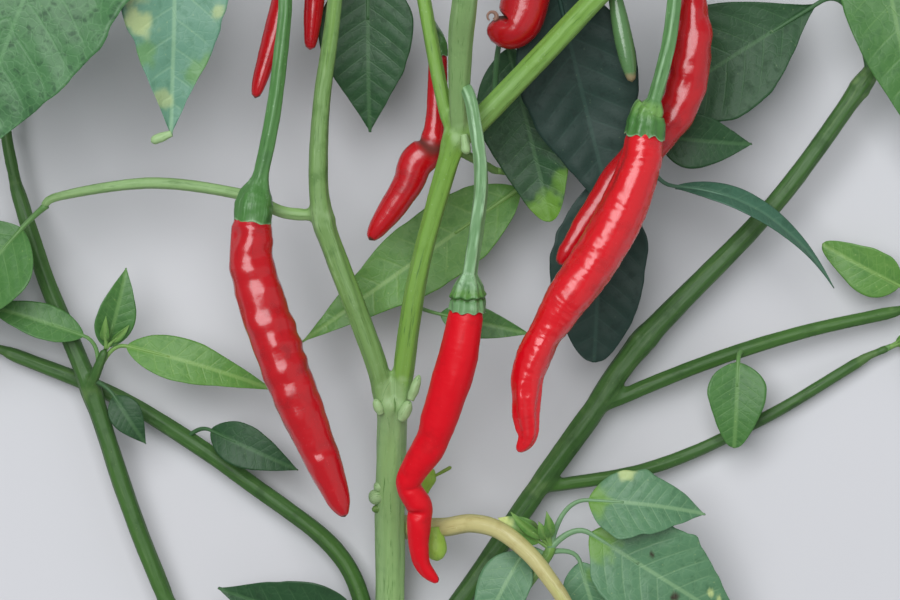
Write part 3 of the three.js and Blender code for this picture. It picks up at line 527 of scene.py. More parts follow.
def make_streaks():
    """Fine lengthwise streaks of a green skin, and their height."""
    group, nodes, source, give = new_group(
        "Lengthwise streaks", {"Rind": (0, 0, 0), "Fineness": 1.0, "Share": 0.5}, ["Mask", "Height"])
    drawn = nodes.stretch(source["Rind"], (1, 1, 0.07))
    wide = nodes.noise(drawn, nodes.times(source["Fineness"], 0.9), 2.0)
    thin = nodes.noise(drawn, nodes.times(source["Fineness"], 3.2), 3.0)
    both = nodes.plus(nodes.times(wide, 0.65), nodes.times(thin, 0.35))
    low = nodes.minus(0.72, nodes.times(source["Share"], 0.4))
    give("Mask", nodes.step(both, low, nodes.plus(low, 0.14)))
    give("Height", both)
    return group


def make_patches():
    """Soft uneven patches, larger or smaller."""
    group, nodes, source, give = new_group(
        "Soft patches", {"Rind": (0, 0, 0), "Width": 8.0, "Share": 0.5}, ["Mask"])
    cloud = nodes.noise(source["Rind"], nodes.over(1.0, source["Width"]), 4.0, 0.6)
    low = nodes.minus(0.68, nodes.times(source["Share"], 0.36))
    give("Mask", nodes.step(cloud, low, nodes.plus(low, 0.2)))
    return group


def make_pinpoints():
    """Scattered pinpoints of a skin, most of their places left empty."""
    group, nodes, source, give = new_group(
        "Pinpoints", {"Rind": (0, 0, 0), "Spacing": 1.0, "Radius": 0.2, "Share": 0.4}, ["Mask"])
    cells = nodes.add("TexVoronoi", {"Vector": source["Rind"], "Scale": nodes.over(1.0, source["Spacing"])})
    dot = nodes.fall(cells.outputs["Distance"], nodes.times(source["Radius"], 0.4), source["Radius"])
    pick = nodes.parts(cells.outputs["Color"])["X"]
    give("Mask", nodes.times(dot, nodes.math("LESS_THAN", pick, source["Share"])))
    return group


def make_wrinkles():
    """Height of fine crosswise wrinkles and of the skin's grain."""
    group, nodes, source, give = new_group("Skin wrinkles", {"Rind": (0, 0, 0), "Spacing": 1.0}, ["Height"])
    fineness = nodes.over(1.0, source["Spacing"])
    cross = nodes.noise(nodes.stretch(source["Rind"], (0.35, 0.35, 1)), fineness, 3.0)
    grain = nodes.noise(source["Rind"], nodes.times(fineness, 4.0), 2.0)
    give("Height", nodes.plus(nodes.times(cross, 0.8), nodes.times(grain, 0.2)))
    return group


def make_veins():
    """A leaf's midrib, side veins and fine network, and the height of the blade's face."""
    group, nodes, source, give = new_group("Leaf veins", {"Rind": (0, 0, 0), "Vein": 0.0, "Edge": 0.0},
                                           ["Rib", "Side veins", "Network", "Height"])
    aside = nodes.math("ABSOLUTE", nodes.parts(source["Rind"])["X"])
    phase = nodes.math("FRACT", nodes.plus(source["Vein"], 0.5))
    apart = nodes.math("ABSOLUTE", nodes.minus(phase, 0.5))
    side = nodes.times(nodes.fall(apart, 0.015, 0.075), nodes.fall(source["Edge"], 0.55, 1.0))
    bent = nodes.add("TexNoise", {"Vector": source["Rind"], "Scale": 0.5, "Detail": 1.0}).outputs["Color"]
    crooked = nodes.add("VectorMath", {0: source["Rind"], 1: nodes.stretch(bent, (1.4, 1.4, 0))}).outputs[0]
    cells = nodes.add("TexVoronoi", {"Vector": crooked, "Scale": 0.42}, feature="DISTANCE_TO_EDGE")
    network = nodes.fall(cells.outputs["Distance"], 0.0, 0.12)
    sunk = nodes.plus(nodes.times(side, 0.6), nodes.times(network, 0.3))
    give("Rib", nodes.fall(aside, 0.2, 0.75))
    give("Side veins", side)
    give("Network", network)
    give("Height", nodes.minus(nodes.times(nodes.noise(source["Rind"], 2.4, 3.0), 0.35), sunk))
    return group


STREAKS, PATCHES, PINPOINTS = make_streaks(), make_patches(), make_pinpoints()
WRINKLES, VEINS = make_wrinkles(), make_veins()


def new_material(name, **constants):
    """A material, the nodes to add to, its surface shader, the place on the skin and the skin's stain."""
    material = bpy.data.materials.new(name)
    material.use_nodes = True
    surface = material.node_tree.nodes["Principled BSDF"]
    for key, value in constants.items():
        surface.inputs[key.replace("_", " ")].default_value = value
    nodes = Nodes(material.node_tree)
    return material, nodes, surface, nodes.attribute("rind"), nodes.parts(nodes.attribute("stain"))


def emboss(nodes, height, strength, depth):
    """The normal of a skin with a fine relief. depth is in millimetres."""
    bump = nodes.add("Bump", {"Height": height, "Strength": strength, "Distance": depth * MM})
    return bump.outputs["Normal"]


def pod_skin(name, ripe, deep, pale, roughness=0.24, coat=0.35, gloss=0.45, dried=(74, 44, 34)):
    """Taut glossy skin: cloudy colour, faint pale pinpoints, fine wrinkles and a dry brown tip."""
    material, nodes, surface, rind, stain = new_material(name, Coat_Roughness=0.14, Specular_IOR_Level=gloss)
    cloud = nodes.use(PATCHES, Rind=rind, Width=7, Share=0.45)["Mask"]
    streak = nodes.use(STREAKS, Rind=rind, Fineness=0.8, Share=0.35)["Mask"]
    dots = nodes.use(PINPOINTS, Rind=rind, Spacing=1.1, Radius=0.22, Share=0.3)["Mask"]
    dry = nodes.times(stain["Y"], 0.4)
    nodes.fill(surface, {
        "Base Color": nodes.layers(ripe, (cloud, 0.55, deep), (streak, 0.3, deep), (dots, 0.14, pale),
                                   (stain["X"], 1, pale), (stain["Y"], 1, dried)),
        "Roughness": nodes.plus(nodes.times(cloud, 0.08), nodes.plus(roughness, dry)),
        "Coat Weight": nodes.minus(coat, dry),
        "Normal": emboss(nodes, nodes.use(WRINKLES, Rind=rind, Spacing=0.8)["Height"], 0.22, 0.4)})
    return material


def stem_skin(name, green, deep, pale, streaked=0.5, roughness=0.5, fresh=(110, 152, 48)):
    """A green skin with lengthwise streaks, cloudy patches, pale pores and paler ridges."""
    material, nodes, surface, rind, stain = new_material(name, Specular_IOR_Level=0.4)
    cloud = nodes.use(PATCHES, Rind=rind, Width=7, Share=0.5)["Mask"]
    streaks = nodes.use(STREAKS, Rind=rind, Fineness=1.0, Share=0.45)
    lines = nodes.use(STREAKS, Rind=rind, Fineness=1.9, Share=0.42)["Mask"]
    pores = nodes.use(PINPOINTS, Rind=rind, Spacing=1.3, Radius=0.24, Share=0.3)["Mask"]
    nodes.fill(surface, {
        "Base Color": nodes.layers(green, (cloud, 0.6, deep), (streaks["Mask"], streaked, pale),
                                   (stain["Z"], 0.9, fresh), (stain["X"], 1, pale), (lines, 0.8, deep),
                                   (pores, 0.3, pale), (stain["Y"], 1, (50, 58, 28))),
        "Roughness": nodes.plus(roughness, nodes.times(cloud, 0.12)),
        "Normal": emboss(nodes, streaks["Height"], 0.4, 0.5)})
    return material


def leaf_skin(name, green, deep, vein, pale, mottled=0.5, network=0.12, relief=0.22, roughness=0.46):
    """A blade with a pale midrib, side veins and a fine network, darker between them, and its blotches."""
    material, nodes, surface, rind, stain = new_material(name, Specular_IOR_Level=0.4)
    veins = nodes.use(VEINS, Rind=rind, Vein=nodes.attribute("vein", "Fac"),
                      Edge=nodes.attribute("edge", "Fac"))
    cloud = nodes.use(PATCHES, Rind=rind, Width=2.6, Share=0.5)["Mask"]
    broad = nodes.use(PATCHES, Rind=rind, Width=15, Share=0.45)["Mask"]
    specks = nodes.use(PINPOINTS, Rind=rind, Spacing=1.6, Radius=0.16, Share=0.25)["Mask"]
    nodes.fill(surface, {
        "Base Color": nodes.layers(green, (cloud, mottled, deep), (broad, 0.45, deep),
                                   (veins["Network"], network, vein), (veins["Side veins"], 0.26, vein),
                                   (veins["Rib"], 0.6, vein), (specks, 0.2, pale),
                                   (stain["Z"], 1, (98, 142, 44)), (stain["X"], 1, pale),
                                   (stain["Y"], 1, (52, 44, 30))),
        "Roughness": nodes.plus(roughness, nodes.times(cloud, 0.1)),
        "Normal": emboss(nodes, veins["Height"], relief, 0.4)})
    return material


RIPE_SKIN = pod_skin("Ripe pod skin", (206, 8, 24), (172, 4, 16), (232, 100, 108))
SATIN_SKIN = pod_skin("Satin pod skin", (208, 4, 24), (176, 3, 16), (226, 80, 88), 0.44, 0.05, 0.24)
# The shaded pod skin is a deeper red: partly the pods' own deeper red, partly painted shade for the pods that
# hang behind.
SHADED_SKIN = pod_skin("Shaded pod skin", (178, 6, 20), (130, 3, 13), (220, 90, 100))
GREEN_SKIN = pod_skin("Unripe pod skin", (84, 122, 74), (62, 100, 58), (150, 168, 126), dried=(136, 124, 90))
STEM_SKIN = stem_skin("Stem skin", (112, 148, 82), (70, 110, 44), (150, 180, 126))
# The rear stem skin is a darker, more saturated green: partly these limbs' own green, partly painted shade
# for the limbs that lie behind.
REAR_STEM_SKIN = stem_skin("Rear stem skin", (56, 94, 38), (34, 68, 22), (98, 128, 70), 0.35,
                           fresh=(70, 112, 40))
STALK_SKIN = stem_skin("Fruit stalk skin", (68, 116, 54), (44, 88, 38), (156, 192, 150), 0.3, 0.36,
                       (112, 156, 62))
STRAW_SKIN = stem_skin("Yellowed stalk skin", (182, 176, 118), (156, 142, 84), (206, 204, 158),
                       fresh=(176, 184, 104))
DRY_SKIN = stem_skin("Dried skin", (150, 116, 98), (96, 66, 54), (186, 160, 140))
CUT_SKIN = stem_skin("Cut stem", (150, 158, 96), (124, 134, 76), (206, 214, 168), 0.2, 0.62)
YOUNG_SKIN = stem_skin("Young skin", (138, 174, 60), (108, 150, 48), (170, 198, 98), 0.3)
LEAF_SKINS = dict(
    mottled=leaf_skin("Mottled leaf", (66, 112, 66), (36, 74, 42), (92, 138, 88), (160, 182, 112), 0.85, 0.3),
    green=leaf_skin("Green leaf", (68, 114, 54), (48, 92, 42), (106, 146, 82), (170, 192, 106)),
    bright=leaf_skin("Bright leaf", (88, 134, 58), (66, 114, 48), (128, 164, 88), (190, 204, 124)),
    blue=leaf_skin("Blue-green leaf", (94, 138, 114), (70, 114, 86), (134, 172, 134), (190, 200, 132),
                   0.4, 0.08),
    sage=leaf_skin("Sage green leaf", (84, 126, 90), (60, 102, 68), (128, 164, 118), (184, 200, 130),
                   0.5, 0.1),
    deep=leaf_skin("Deep green leaf", (34, 72, 38), (22, 52, 26), (66, 104, 62), (134, 158, 98),
                   roughness=0.52),
    teal=leaf_skin("Teal leaf", (58, 98, 76), (42, 78, 58), (84, 122, 96), (134, 158, 98)),
    # A near-black teal green; on the rear spray's first leaf it is painted shade.
    dark=leaf_skin("Dark leaf", (26, 52, 43), (18, 38, 32), (42, 72, 60), (96, 118, 84), 0.5, 0.05, 0.1, 0.6),
)


# Stems and boughs

KNOT_REACH = 3.5
KNOT_STAIN_REACH = 2.4
FUSED_STEP = 0.42               # distance between the points of a skin that covers several limbs
FUSED_SIDES = 28
FORK_REACH = 2.4                # how near two limbs are where their skins run into each other
FORK_SOFTENINGS, ALL_SOFTENINGS, SOFTENING = 14, 3, 0.6
SKIN_BLEND = 0.4                # how far the ridges of one limb run on into the next
BUD_SIDES = 20


def radius_along(row, line, shares):
    """Radius of a limb or pod at shares of its length, with its knots and its rounded tip."""
    run = shares * line.length
    size = spline(row["radii"], shares)[:, 0]
    if "tip" in row:
        size *= np.sqrt(1 - 0.85 * np.clip(1 - (line.length - run) / row["tip"], 0, 1) ** 2)
    for at, swell in row.get("knots", ()):
        size += swell * bell(run - at * line.length, KNOT_REACH)
    return size


def round_end(line, shares, size):
    """How far a tube's last few millimetres draw in to a dome."""
    left = (1 - shares) * line.length
    return np.sqrt(np.clip(1 - np.clip(1 - left / size, 0, 1) ** 2, 0.02, 1))


def limb_relief(row, line, angle, run, seed):
    """Relief of a green limb, as shares of its radius, and its stain: ridges, uneven growth and knots."""
    straight = np.stack([np.cos(angle), np.sin(angle), run], axis=-1)
    twisted = angle + 0.006 * run + 0.5 * noise(straight * [0, 0, 0.02], seed)
    relief = 0.035 * np.cos(5 * twisted + seed) + 0.02 * np.cos(9 * twisted - 2 * seed)
    relief += 0.035 * noise(straight * [0.8, 0.8, 0.11], seed + 1)
    relief += 0.014 * noise(straight * [4, 4, 0.3], seed + 2)
    knots = sum(bell(run - at * line.length, KNOT_STAIN_REACH) for at, _ in row.get("knots", ())) + 0 * run
    relief += 0.08 * knots * noise(straight * [1.6, 1.6, 0.5], seed + 3)
    stain = np.zeros(straight.shape)
    stain[..., 0] = 0.8 * knots * ramp(noise(straight * [1.2, 1.2, 0.4], seed + 4), -0.3, 0.6)
    stain[..., 2] = 0.5 * ramp(noise(straight * [0.9, 0.9, 0.03], seed + 5), 0.1, 0.6)
    return relief, stain + (1 - stain) * np.array(row.get("tint", (0, 0, 0)))


def limb_parts(row, seed, sides=24, step=0.9, flare=0.3):
    """A single twig."""
    line = line_through(row["path"])
    shares = np.linspace(0, 1, max(8, int(line.length / step)))
    angle, run, _ = skin_grid(line, shares, sides)
    relief, stain = limb_relief(row, line, angle, run, seed)
    radii = radius_along(row, line, shares)[:, None] * (1 + relief + flare * bell(run, 3))
    return tube_parts(line, shares, radii * round_end(line, shares, row["radii"][-1])[:, None], stain)


def around_line(row, line, points):
    """Each point's angle about a limb, its run along it, the limb's radius there and the gap to its skin."""
    shares = np.linspace(0, 1, max(30, int(line.length / 0.7)))
    centres, across, beside, forwards = rings_along(line, shares)
    near = np.argmin((centres ** 2).sum(axis=1) - 2 * points @ centres.T, axis=1)
    offset = points - centres[near]
    ahead = (offset * forwards[near]).sum(axis=1)
    run = np.clip(shares[near] * line.length + ahead, 0, line.length)
    angle = np.arctan2((offset * beside[near]).sum(axis=1), (offset * across[near]).sum(axis=1))
    size = np.interp(run, shares * line.length, radius_along(row, line, shares))
    return angle, run, size, np.linalg.norm(offset, axis=1) - size


def one_skin(parts):
    """Points, faces and edges of one skin over closed tubes that run into each other."""
    points, faces, _ = join_parts(parts)
    mesh = bpy.data.meshes.new("tubes")
    mesh.from_pydata(points.tolist(), [], faces)
    tubes = add_object("tubes", mesh)
    remesh = tubes.modifiers.new("one skin", "REMESH")
    remesh.mode = "VOXEL"
    remesh.voxel_size = FUSED_STEP
    skin = bpy.data.meshes.new_from_object(tubes.evaluated_get(bpy.context.evaluated_depsgraph_get()))
    places = np.empty(len(skin.vertices) * 3, np.float32)
    skin.vertices.foreach_get("co", places)
    edges = np.empty(len(skin.edges) * 2, np.int32)
    skin.edges.foreach_get("vertices", edges)
    faces = [tuple(face.vertices) for face in skin.polygons]
    for used in (mesh, skin):
        bpy.data.meshes.remove(used)
    return places.reshape(-1, 3).astype(float), faces, edges.reshape(-1, 2)


def skin_normals(points, faces):
    corners = np.array([face if len(face) == 4 else face + face[-1:] for face in faces])
    first, second, third, fourth = (points[corners[:, column]] for column in range(4))
    crossed = np.cross(third - first, fourth - second)
    normals = np.zeros_like(points)
    for column in range(4):
        np.add.at(normals, corners[:, column], crossed)
    return unit(normals)


def fused_parts(rows, seed):
    """Limbs that have grown together: one skin with soft forks, which carries the ridges of each limb."""
    tubes, lines = [], []
    for row in rows:
        line = line_through(row["path"])
        shares = np.linspace(0, 1, max(8, int(line.length / 1.2)))
        size = radius_along(row, line, shares) * round_end(line, shares, row["radii"][-1])
        tubes.append(tube_parts(line, shares, np.repeat(size[:, None], FUSED_SIDES, axis=1)))
        lines.append(line)
    points, faces, edges = one_skin(tubes)
    gaps = np.sort([around_line(row, line, points)[3] for row, line in zip(rows, lines)], axis=0)
    at_fork = ramp(FORK_REACH - (gaps[1] - gaps[0]), 0, 0.6 * FORK_REACH)[:, None]
    count = np.bincount(edges.ravel(), minlength=len(points))[:, None]
    for share in [at_fork] * FORK_SOFTENINGS + [0.5] * ALL_SOFTENINGS:
        total = np.zeros_like(points)
        np.add.at(total, edges[:, 0], points[edges[:, 1]])
        np.add.at(total, edges[:, 1], points[edges[:, 0]])
        points += SOFTENING * share * (total / count - points)
    push, stain, weights = 0, 0, 0
    rind, least = np.zeros_like(points), np.full(len(points), np.inf)
    for index, (row, line) in enumerate(zip(rows, lines)):
        angle, run, size, gap = around_line(row, line, points)
        relief, own_stain = limb_relief(row, line, angle, run, seed + 7 * index)
        weight = np.exp(-np.clip(gap - gaps[0], 0, None) / SKIN_BLEND)
        push = push + weight * relief * size
        stain = stain + weight[:, None] * own_stain
        weights = weights + weight
        nearer = gap < least
        least = np.minimum(gap, least)
        rind[nearer] = np.stack([np.cos(angle) * size, np.sin(angle) * size, run], axis=-1)[nearer]
    stain = stain / weights[:, None]
    stain[:, 0] = np.maximum(stain[:, 0], 0.5 * at_fork[:, 0] * ramp(noise(points * 0.5, seed), -0.1, 0.7))
    points += skin_normals(points, faces) * (push / weights)[:, None]
    return points, faces, {"rind": rind, "stain": stain}


def bump_parts(place_at, towards, length, radius, seed, stain=(0, 0, 0), widest=0.35):
    """A small bud, stub or drop that stands on a skin."""
    start = place([place_at])[0]
    line = Line(start + np.linspace(0, 1, 60)[:, None] * unit(np.array(towards, float)) * length)
    shares = np.linspace(0, 1, 18)
    profile = np.sqrt(np.clip(1 - np.clip((shares - widest) / (1 - widest), 0, 1) ** 2.2, 0.01, 1))
    profile *= 0.7 + 0.3 * ramp(shares, 0, widest)
    _, _, straight = skin_grid(line, shares, BUD_SIDES)
    radii = radius * profile[:, None] * (1 + 0.1 * noise(straight * [1.5, 1.5, 0.8], seed))
    return tube_parts(line, shares, radii, np.broadcast_to(stain, straight.shape))


# Fruits

CALYX_SHAPE = [[0.3, 0.74], [0.6, 0.95], [1, 1]]
BELL_SHAPE = [[0.12, 0.44], [0.28, 0.6], [0.45, 0.86], [0.62, 0.98], [0.8, 1], [1, 0.97]]
POD_START_IN_CALYX = 1.6
STALK_SIDES, CALYX_RINGS = 80, 56
# Bulges cross a pod at even steps. A crease is (share of the length, angle round it, depth, reach, spread).
POD_LOOKS = dict(
    centre=dict(sides=96, step=0.4, lobes=0.02, lumps=0.16, crinkles=0.03, creases=[
        (0.3, -0.2, 0.35, 3, 0.7), (0.44, -0.4, 0.5, 2.5, 0.9), (0.6, -2.2, 0.35, 1, 0.5),
        (0.64, -1.5, 0.4, 0.9, 0.4), (0.735, -1.7, 1.1, 1.1, 0.9), (0.76, -0.8, 0.8, 1.6, 0.7),
        (0.92, -2.2, 0.5, 2, 0.5)]),
    right=dict(sides=96, step=0.34, lobes=0.03, lumps=0.2, crinkles=0.085, folds=0.22, creases=[
        (0.13, -2.75, 0.6, 10, 0.3), (0.045, -1.5, 0.35, 1.6, 0.6), (0.66, -0.2, 0.6, 3, 0.8),
        (0.83, -3.2, 0.5, 3, 0.7)]),
    left=dict(sides=96, step=0.4, lobes=0.02, lumps=0.26, crinkles=0.02, bulges=0.22, bulge_step=6.4,
              creases=[(0.06, -2.4, 1.2, 2.6, 0.5), (0.13, -1, 0.5, 3.5, 0.5), (0.77, -1.2, 0.6, 1.6, 0.9)]),
    right_rear=dict(sides=64, step=0.6, lobes=0.03, lumps=0.25, crinkles=0.05, bulges=0.2, bulge_step=7),
    top_hooked=dict(sides=72, step=0.5, lobes=0.03, lumps=0.16, crinkles=0.03, dry_tip=1.5),
    # The back-kinked pod's crease at its kink is also painted dark brown: painted shade in the crease.
    back_kinked=dict(sides=56, step=0.6, lobes=0.03, lumps=0.16, crinkles=0.04, painted_kink_shade=0.455,
                     creases=[(0.455, -1.6, 0.9, 1.6, 2.5)]),
    back_left_outer=dict(sides=44, step=0.7, lobes=0.03, lumps=0.12, crinkles=0.03),
    back_left_inner=dict(sides=44, step=0.7, lobes=0.03, lumps=0.12, crinkles=0.03),
    green=dict(sides=44, step=0.6, lobes=0.02, lumps=0.08, crinkles=0.02, dry_tip=2.5),
)
# Ribs and teeth are counts. The collar is a second, lower tier that shows under the rim.
CALYX_LOOKS = dict(
    centre=dict(ribs=10, rib_depth=0.05, teeth=9, tooth=0.5, collar=0.25, pale=1),
    right=dict(ribs=9, rib_depth=0.055, teeth=7, tooth=0.9, bump=True, pale=0.45),
    left=dict(ribs=6, rib_depth=0.012, teeth=5, tooth=0.55, shape=BELL_SHAPE, pale=0.15),
)
OTHER_CALYX = dict(ribs=8, rib_depth=0.03, teeth=6, tooth=0.4, pale=0.2)


def turned_from(angle, at):
    """Angle between two directions around a tube, from 0 to pi."""
    return np.abs((angle - at + math.pi) % (2 * math.pi) - math.pi)


def pod_parts(pod, seed, sides, step, lobes, lumps, crinkles, creases=(), bulges=0, bulge_step=6, folds=0,
              dry_tip=0.5, painted_kink_shade=None):
    """A pod: soft lobes and lumps, thin crosswise crinkles, placed creases and a narrowing tip."""
    line = line_through(pod["path"])
    line = Line(np.vstack([line.points[0] - line.forward(0) * POD_START_IN_CALYX, line.points]))
    length = line.length
    shares = np.linspace(0, 1, int(length / step))
    run_out = np.clip(shares * length - POD_START_IN_CALYX, 0, None) / (length - POD_START_IN_CALYX)
    size = radius_along(pod, line, run_out)
    size *= 0.86 + 0.14 * ramp(shares * length, 0, POD_START_IN_CALYX + 1)
    size *= round_end(line, shares, 0.4 * pod["radii"][-1])
    angle, run, straight = skin_grid(line, shares, sides)
    size = np.broadcast_to(size[:, None], angle.shape)
    spot = straight * [1, 1, 0] * size[..., None] + straight * [0, 0, 1]
    bent_run = run + 3.2 * noise(spot * [0.13, 0.13, 0.07], seed + 7)
    crossing = spot + 0.8 * noise(spot * 0.5, seed + 3)[..., None]
    lift = lumps * (noise(spot * [0.24, 0.24, 0.16], seed + 1)
                    + 0.4 * noise(spot * [0.6, 0.6, 0.4], seed + 2))
    lift += crinkles * (noise(crossing * [0.2, 0.2, 0.6], seed + 4)
                        + 0.9 * noise(crossing * [0.45, 0.45, 1.7], seed + 5))
    lift += (bulges * np.cos(2 * math.pi * bent_run / bulge_step)
             * (1 - ramp(run, 0.45 * length, 0.75 * length)) * ramp(noise(spot * 0.14, seed + 9), -0.7, 0.3))
    lift += (folds * ramp(run, 0.72 * length, 0.85 * length) * ramp(size, 0.8, 3)
             * np.cos(7 * angle + 3 * noise(spot * [0.2, 0.2, 0.1], seed + 8)))
    rounding = np.cos(2 * angle + 0.02 * run + seed) + 0.7 * np.cos(3 * angle - 0.03 * run + 2 * seed)
    radii = size * (1 + lobes * rounding) + lift * ramp(size, 0.4, 3) * ramp(run, 1, 6)
    for at, turned, depth, reach, spread in creases:
        radii -= depth * bell(run - at * length, reach) * bell(turned_from(angle, turned), spread)
    stain = np.zeros(straight.shape)
    stain[..., 1] = ramp(run + 0.8 * noise(spot, seed + 6), length - dry_tip, length - 0.5 * dry_tip)
    # Painted shade: the crease at the kink is darkened with the dry tip's brown.
    if painted_kink_shade:
        stain[..., 1] = np.maximum(stain[..., 1], 0.85 * bell(bent_run - painted_kink_shade * length, 1.5))
    return tube_parts(line, shares, radii, stain)


def stalk_parts(stalk, seed, ribs, rib_depth, teeth, tooth, pale, shape=CALYX_SHAPE, collar=0, bump=False):
    """A ridged fruit stalk that widens to its ribbed calyx, whose toothed rim turns in to a lip."""
    line = line_through(stalk["path"])
    length, wide = stalk["calyx"]
    start = 1 - length / line.length
    shares = np.concatenate([np.linspace(0, start, int((line.length - length) / 0.7))[:-1],
                             np.linspace(start, 1, CALYX_RINGS)])
    angle, run, straight = skin_grid(line, shares, STALK_SIDES)
    in_calyx = np.clip((run - (line.length - length)) / length, 0, 1)
    bare = spline(stalk["radii"], np.minimum(shares / start, 1))[:, :1]
    shape = np.array([[0, stalk["radii"][-1] / wide], *shape])
    steps = np.linspace(0, 1, 200)
    widths = np.interp(steps, shape[:, 0], shape[:, 1])
    widths = np.convolve(np.pad(widths, 12, mode="edge"), np.hanning(25) / np.hanning(25).sum(), "valid")
    radii = np.where(in_calyx > 0, np.interp(in_calyx, steps, widths) * wide, bare)
    turned = angle + 0.012 * run + 0.3 * noise(straight * [0, 0, 0.05], seed)
    ridges = 0.07 * (1 - in_calyx) * np.cos(5 * turned) * ramp(run, 0, 4)
    ridges += rib_depth * np.cos(ribs * turned) * ramp(in_calyx, 0, 0.35)
    ridges += 0.02 * noise(straight * [3, 3, 0.35], seed + 1) + 0.03 * noise(straight * [1, 1, 0.4], seed + 2)
    radii = radii * (1 + ridges)
    radii += 0.16 * ramp(in_calyx, 0, 0.3) * noise(straight * [2.6, 2.6, 0.9], seed + 6)
    radii *= 1 + 0.3 * bell(run, 1.6)
    stain = np.zeros(straight.shape)
    worn = ramp(noise(straight * [2.5, 2.5, 0.25], seed + 3), -0.5, 0.6)
    ridge_tops = 0.3 + 0.7 * worn * ramp(np.cos(5 * turned), -0.3, 1)
    stain[..., 0] = pale * ridge_tops * (1 - ramp(in_calyx, 0.1, 0.6))
    if collar:
        edge = 0.62 + 0.045 * noise(straight * [2.2, 2.2, 0], seed + 4) + 0.02 * np.cos(9 * angle + 1)
        groove = bell(in_calyx - edge - 0.035, 0.03)
        radii += 0.12 * bell(in_calyx - edge + 0.03, 0.06) - 0.55 * groove
        radii -= collar * ramp(in_calyx - edge, 0, 0.1)
        # Painted shade: the groove under the collar is darkened as well as cut in.
        stain[..., 1] = 0.6 * groove
        stain[..., 0] = np.maximum(stain[..., 0], 0.3 * ramp(in_calyx - edge, 0.06, 0.14))
        stain[..., 2] = 0.35 * ramp(in_calyx, 0.25, 0.5) * (1 - ramp(in_calyx - edge, -0.1, 0))
    if bump:
        radii += 0.4 * bell(in_calyx - 0.34, 0.14) * bell(turned_from(angle, math.pi), 0.7)
        stain[..., 2] = 0.7 * ramp(1 - in_calyx, 0.4, 0.75) * ramp(in_calyx, 0, 0.2)
    stain[..., 0] = np.maximum(stain[..., 0], 0.7 * ramp(in_calyx, 0.95, 1))
    points, _, attributes = tube_parts(line, shares, radii, stain)
    grid, rind = (values[:angle.size].reshape(stain.shape) for values in (points, attributes["rind"]))
    forward, end = line.forward(1.0), line.at(1.0)
    rim = 0.5 * np.cos(teeth * angle + seed) + 0.4 * noise(straight * [2, 2, 0], seed + 5)
    grid = grid + (tooth * rim * ramp(in_calyx, 0.72, 1))[..., None] * forward
    lip = [end + (grid[-1:] - end) * share - back * forward for share, back in ((0.9, 0.25), (0.72, 0.9))]
    twice_more = lambda values: np.concatenate([values, values[-1:], values[-1:]])
    return closed_rows(np.concatenate([grid, *lip]), twice_more(rind), twice_more(stain))


# Leaves

FOLD = 0.16                     # rise of a blade's margin over its midrib, of the distance between them
TIP_SLIMMING = 0.18
PETIOLE_BEND = 0.45
PETIOLE_SIDES = 14
GOLDEN_ANGLE = math.radians(137.5)
LOWEST_LEAF, WINDING_SPAN, SHRINKING = 0.3, 0.65, 0.45
LEAF_RISE, LEAF_SWING = 0.35, 0.55
CROWN_PETIOLE, TIP_SAG, CROWN_ARCH, FACE_TURN = 9, 0.15, 0.1, 0.2
VEINS_A_SIDE = 9
BLADE_GRIDS = [(18, 76, 30), (5, 44, 18), (0, 18, 10)]  # least width, and a blade's rows and columns
STAINS = ["pale", "dark", "bright"]


def bend_through(first, middle, last, share):
    """A quadratic curve and its direction."""
    share = np.atleast_1d(share)[:, None]
    points = (1 - share) ** 2 * first + 2 * share * (1 - share) * middle + share ** 2 * last
    return points, unit(2 * (1 - share) * (middle - first) + 2 * share * (last - middle))


def blade_curve(row):
    """A blade's face, and the start, middle and end that its midrib bends through."""
    start, end = place([row["base"], row["tip"]])
    face = unit(np.array(row["face"], float))
    return face, start, (start + end) / 2 + face * 2 * row["arch"], end


def winding_leaves(twig, tones, longest, widest, lean, turn):
    """The leaves of a crown: one after another up the twig, each turned by the golden angle."""
    line = Line(spline(twig["path"], np.linspace(0, 1, LINE_SAMPLES)))
    for index, tone in enumerate(tones):
        share = LOWEST_LEAF + WINDING_SPAN * index / (len(tones) - 1)
        angle = turn + index * GOLDEN_ANGLE
        size = 1 - SHRINKING * share
        outward = unit(np.array([math.cos(angle), LEAF_RISE, LEAF_SWING * math.sin(angle)]) + lean)
        root = line.at(share)
        base = root + outward * CROWN_PETIOLE * size
        tip = base + outward * longest * size - np.array([0, 0, TIP_SAG * longest])
        yield leaf(root, base, tip, widest * size, CROWN_ARCH * longest, tone,
                   [FACE_TURN * math.cos(angle), -FACE_TURN, 1])


def bud_leaves(root, forward, size, seed):
    """Three tiny young leaves, still upright round a growing tip."""
    for index in range(3):
        angle = index * GOLDEN_ANGLE + seed
        outward = unit(np.array(forward) + 0.55 * np.array([math.cos(angle), 0, abs(math.sin(angle))]))
        base = np.array(root) + outward * 0.25 * size
        yield leaf(root, base, base + outward * size * (1 - 0.2 * index), 0.3 * size, 0.08 * size, "bright",
                   [0.4 * math.cos(angle), -0.3, 1])


